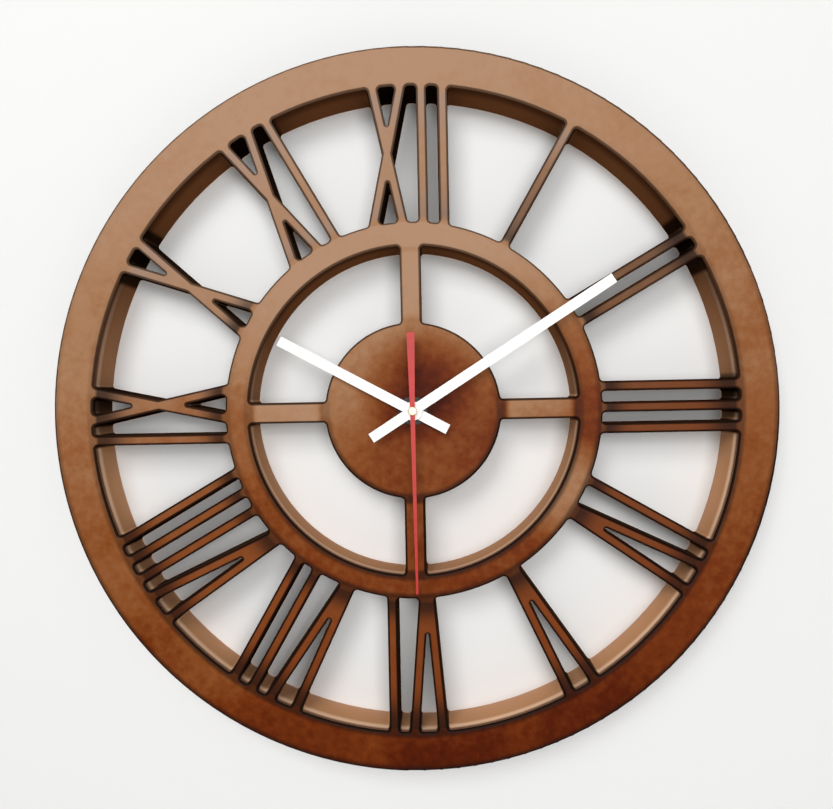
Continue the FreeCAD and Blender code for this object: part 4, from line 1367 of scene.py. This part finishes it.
@dataclass
class Hands:
    """The three hands and the cap."""

    finishes: dict[str, Surface] = field(default_factory=lambda: {
        "hour_hand": Surface.WHITE_LACQUER, "minute_hand": Surface.WHITE_LACQUER,
        "second_hand": Surface.RED_LACQUER, "second_hand_cap": Surface.CAP,
    })

    def dress(self, palette: Palette) -> None:
        """Lacquer the hands.

        Args:
            palette: The clock's finishes.
        """
        for name, surface in self.finishes.items():
            palette.dress(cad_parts[name], surface)
            log.info("lacquered %s", name)


def seen_strength(graph: Graph, strength: float, extra: float) -> Socket:
    """A glow that is stronger where it is seen, straight, in a reflection or through something clear.

    Args:
        graph: The graph that has the glow.
        strength: What lights the clock.
        extra: What is seen on top.

    Returns:
        The strength's socket.
    """
    rays = graph.add("ShaderNodeLightPath").outputs
    seen = graph.maths("MAXIMUM", graph.maths("MAXIMUM", rays["Is Camera Ray"], rays["Is Glossy Ray"]),
                       rays["Is Transmission Ray"])
    return graph.plus(graph.times(seen, extra), strength)


@dataclass(frozen=True)
class Lamp:
    """A soft square lamp that points at the dial's centre."""

    name: str
    offset: Vector3
    side: float
    power: float


@dataclass
class Studio:
    """The wall behind the clock, a floor far below, soft lamps and the camera.

    Turns and spreads are in degrees. The distance and the offset are the dial's place as the camera has it.
    """

    image_width: float = 833.0
    focal_pixels: float = 700.0
    sensor: float = 36.0
    distance: float = 390.8 * MM
    offset: Place = (-2.0 * MM, -3.5 * MM)
    pitch: float = 0.745
    yaw: float = -1.325
    roll: float = 1.1
    wall_side: float = 3.0
    floor_side: float = 8.0
    floor_drop: float = 1.4
    wall_gap: float = 0.4 * MM
    world_strength: float = 0.17
    world_seen: float = 0.67
    floor_glow: float = 0.15
    floor_seen: float = 0.3
    floor_tone: Colour = tone(232, 230, 226)
    floor_glow_tone: Colour = tone(255, 254, 252)
    wall_tone: Colour = tone(240, 240, 239)
    paint_roughness: float = 0.9
    world_tone: Colour = tone(255, 255, 255)
    key: Lamp = Lamp("key", (-0.5, -1.6, 0.9), 0.9, 17.0)
    fill: Lamp = Lamp("fill", (0.35, -1.9, 0.15), 1.0, 18.0)
    rear_energy: float = 1.7
    rear_spread: float = 20.0
    rear_way: Vector3 = (0.06, -1.0, -0.09)
    clip_start: float = 10 * MM

    def stage_plane(self, name: str, side: float, place: Vector, upright: bool) -> bpy.types.Object:
        """A square of the set.

        Args:
            name: Its name.
            side: Its side.
            place: Its middle.
            upright: Whether it stands and faces -Y.

        Returns:
            The square.
        """
        corners = [(side * a, side * b) for a, b in UNIT_SQUARE]
        points = [place + (Vector((a, 0, b)) if upright else Vector((a, b, 0))) for a, b in corners]
        mesh = bpy.data.meshes.new(name)
        mesh.from_pydata(points, [], [(0, 1, 2, 3)])
        square = bpy.data.objects.new(name, mesh)
        bpy.context.scene.collection.objects.link(square)
        return square

    def paint(self, name: str, colour: Colour) -> tuple[bpy.types.Material, Graph, bpy.types.Node]:
        """A matt paint of the set.

        Args:
            name: The material's name.
            colour: Its colour.

        Returns:
            The material, its graph and its Principled shader.
        """
        material, graph, shader = new_material(name)
        shader.inputs["Roughness"].default_value = self.paint_roughness
        shader.inputs["Base Color"].default_value = colour
        return material, graph, shader

    def build_set(self) -> None:
        """The wall, which is clear to a view and to light from behind, and the floor."""
        low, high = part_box("outer_rim")
        middle = Vector((0, self.wall_gap, (low.z + high.z) / 2))
        wall = self.stage_plane("wall", self.wall_side, middle, True)
        material, graph, shader = self.paint("wall_paint", self.wall_tone)
        clear = graph.add("ShaderNodeBsdfTransparent")
        choice = graph.add("ShaderNodeMixShader")
        behind = graph.add("ShaderNodeNewGeometry").outputs["Backfacing"]
        unseen = graph.maths("MAXIMUM", behind, graph.add("ShaderNodeLightPath").outputs["Is Shadow Ray"])
        graph.feed(choice.inputs[0], unseen)
        graph.feed(choice.inputs[1], shader.outputs[0])
        graph.feed(choice.inputs[2], clear.outputs[0])
        graph.feed(material.node_tree.nodes["Material Output"].inputs["Surface"], choice.outputs[0])
        wall.data.materials.append(material)
        floor = self.stage_plane("floor", self.floor_side, Vector((0, 0, low.z - self.floor_drop)), False)
        plain, graph, shader = self.paint("floor_paint", self.floor_tone)
        shader.inputs["Emission Color"].default_value = self.floor_glow_tone
        glow = seen_strength(graph, self.floor_glow, self.floor_seen)
        graph.feed(shader.inputs["Emission Strength"], glow)
        floor.data.materials.append(plain)

    def dial_centre(self) -> Vector:
        """The dial's centre on the board's front face."""
        low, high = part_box("outer_rim")
        return Vector((0, low.y, (low.z + high.z) / 2))

    def hang(self, data: bpy.types.Light, place: Vector, way: Vector) -> None:
        """Put a light in its place and point it.

        Args:
            data: The light.
            place: Where it hangs.
            way: Which way it shines.
        """
        light = bpy.data.objects.new(data.name, data)
        light.location = place
        light.rotation_mode = "QUATERNION"
        light.rotation_quaternion = way.to_track_quat("-Z", "Y")
        bpy.context.scene.collection.objects.link(light)

    def light(self) -> None:
        """A broad lamp above on the left, one in front, a sun behind the wall and an even surround."""
        for lamp in (self.key, self.fill):
            data = bpy.data.lights.new(lamp.name, "AREA")
            data.size = lamp.side
            data.energy = lamp.power
            self.hang(data, self.dial_centre() + Vector(lamp.offset), -Vector(lamp.offset))
        sun = bpy.data.lights.new("rear", "SUN")
        sun.energy = self.rear_energy
        sun.angle = math.radians(self.rear_spread)
        self.hang(sun, Vector(), Vector(self.rear_way))
        world = bpy.data.worlds.new("surround")
        world.use_nodes = True
        background = world.node_tree.nodes["Background"]
        background.inputs["Color"].default_value = self.world_tone
        graph = Graph(world.node_tree)
        strength = seen_strength(graph, self.world_strength, self.world_seen)
        graph.feed(background.inputs["Strength"], strength)
        bpy.context.scene.world = world
        bpy.context.scene.view_settings.view_transform = "Standard"

    def place_camera(self) -> None:
        """The camera at the viewing angle of the reference picture."""
        turn = (Matrix.Rotation(math.radians(self.roll), 3, "Z")
                @ Matrix.Rotation(math.radians(self.yaw), 3, "Y")
                @ Matrix.Rotation(math.radians(self.pitch), 3, "X"))
        stand = Matrix(((1, 0, 0), (0, 0, -1), (0, 1, 0)))
        back = turn.transposed()
        seen = Vector((self.offset[0], self.offset[1], -self.distance))
        place = stand @ -(back @ seen) + self.dial_centre()
        data = bpy.data.cameras.new("camera")
        data.sensor_width = self.sensor
        data.lens = self.focal_pixels / self.image_width * self.sensor
        data.clip_start = self.clip_start
        camera = bpy.data.objects.new("camera", data)
        camera.matrix_world = Matrix.Translation(place) @ (stand @ back).to_4x4()
        bpy.context.scene.collection.objects.link(camera)
        bpy.context.scene.camera = camera


def main() -> None:
    """Build the clock's looks in order."""
    logging.basicConfig(level=logging.INFO, format="%(name)s: %(message)s")
    studio = Studio()
    studio.place_camera()
    palette = Palette()
    DialBoard().dress(palette)
    Hanger().dress(palette)
    movement = Movement()
    movement.dress(palette)
    movement.add_knob_ribs(palette)
    movement.add_winding(palette)
    movement.add_thread(palette)
    movement.add_polarity_marks(palette)
    Hands().dress(palette)
    studio.build_set()
    studio.light()


if __name__ == "__main__":
    main()
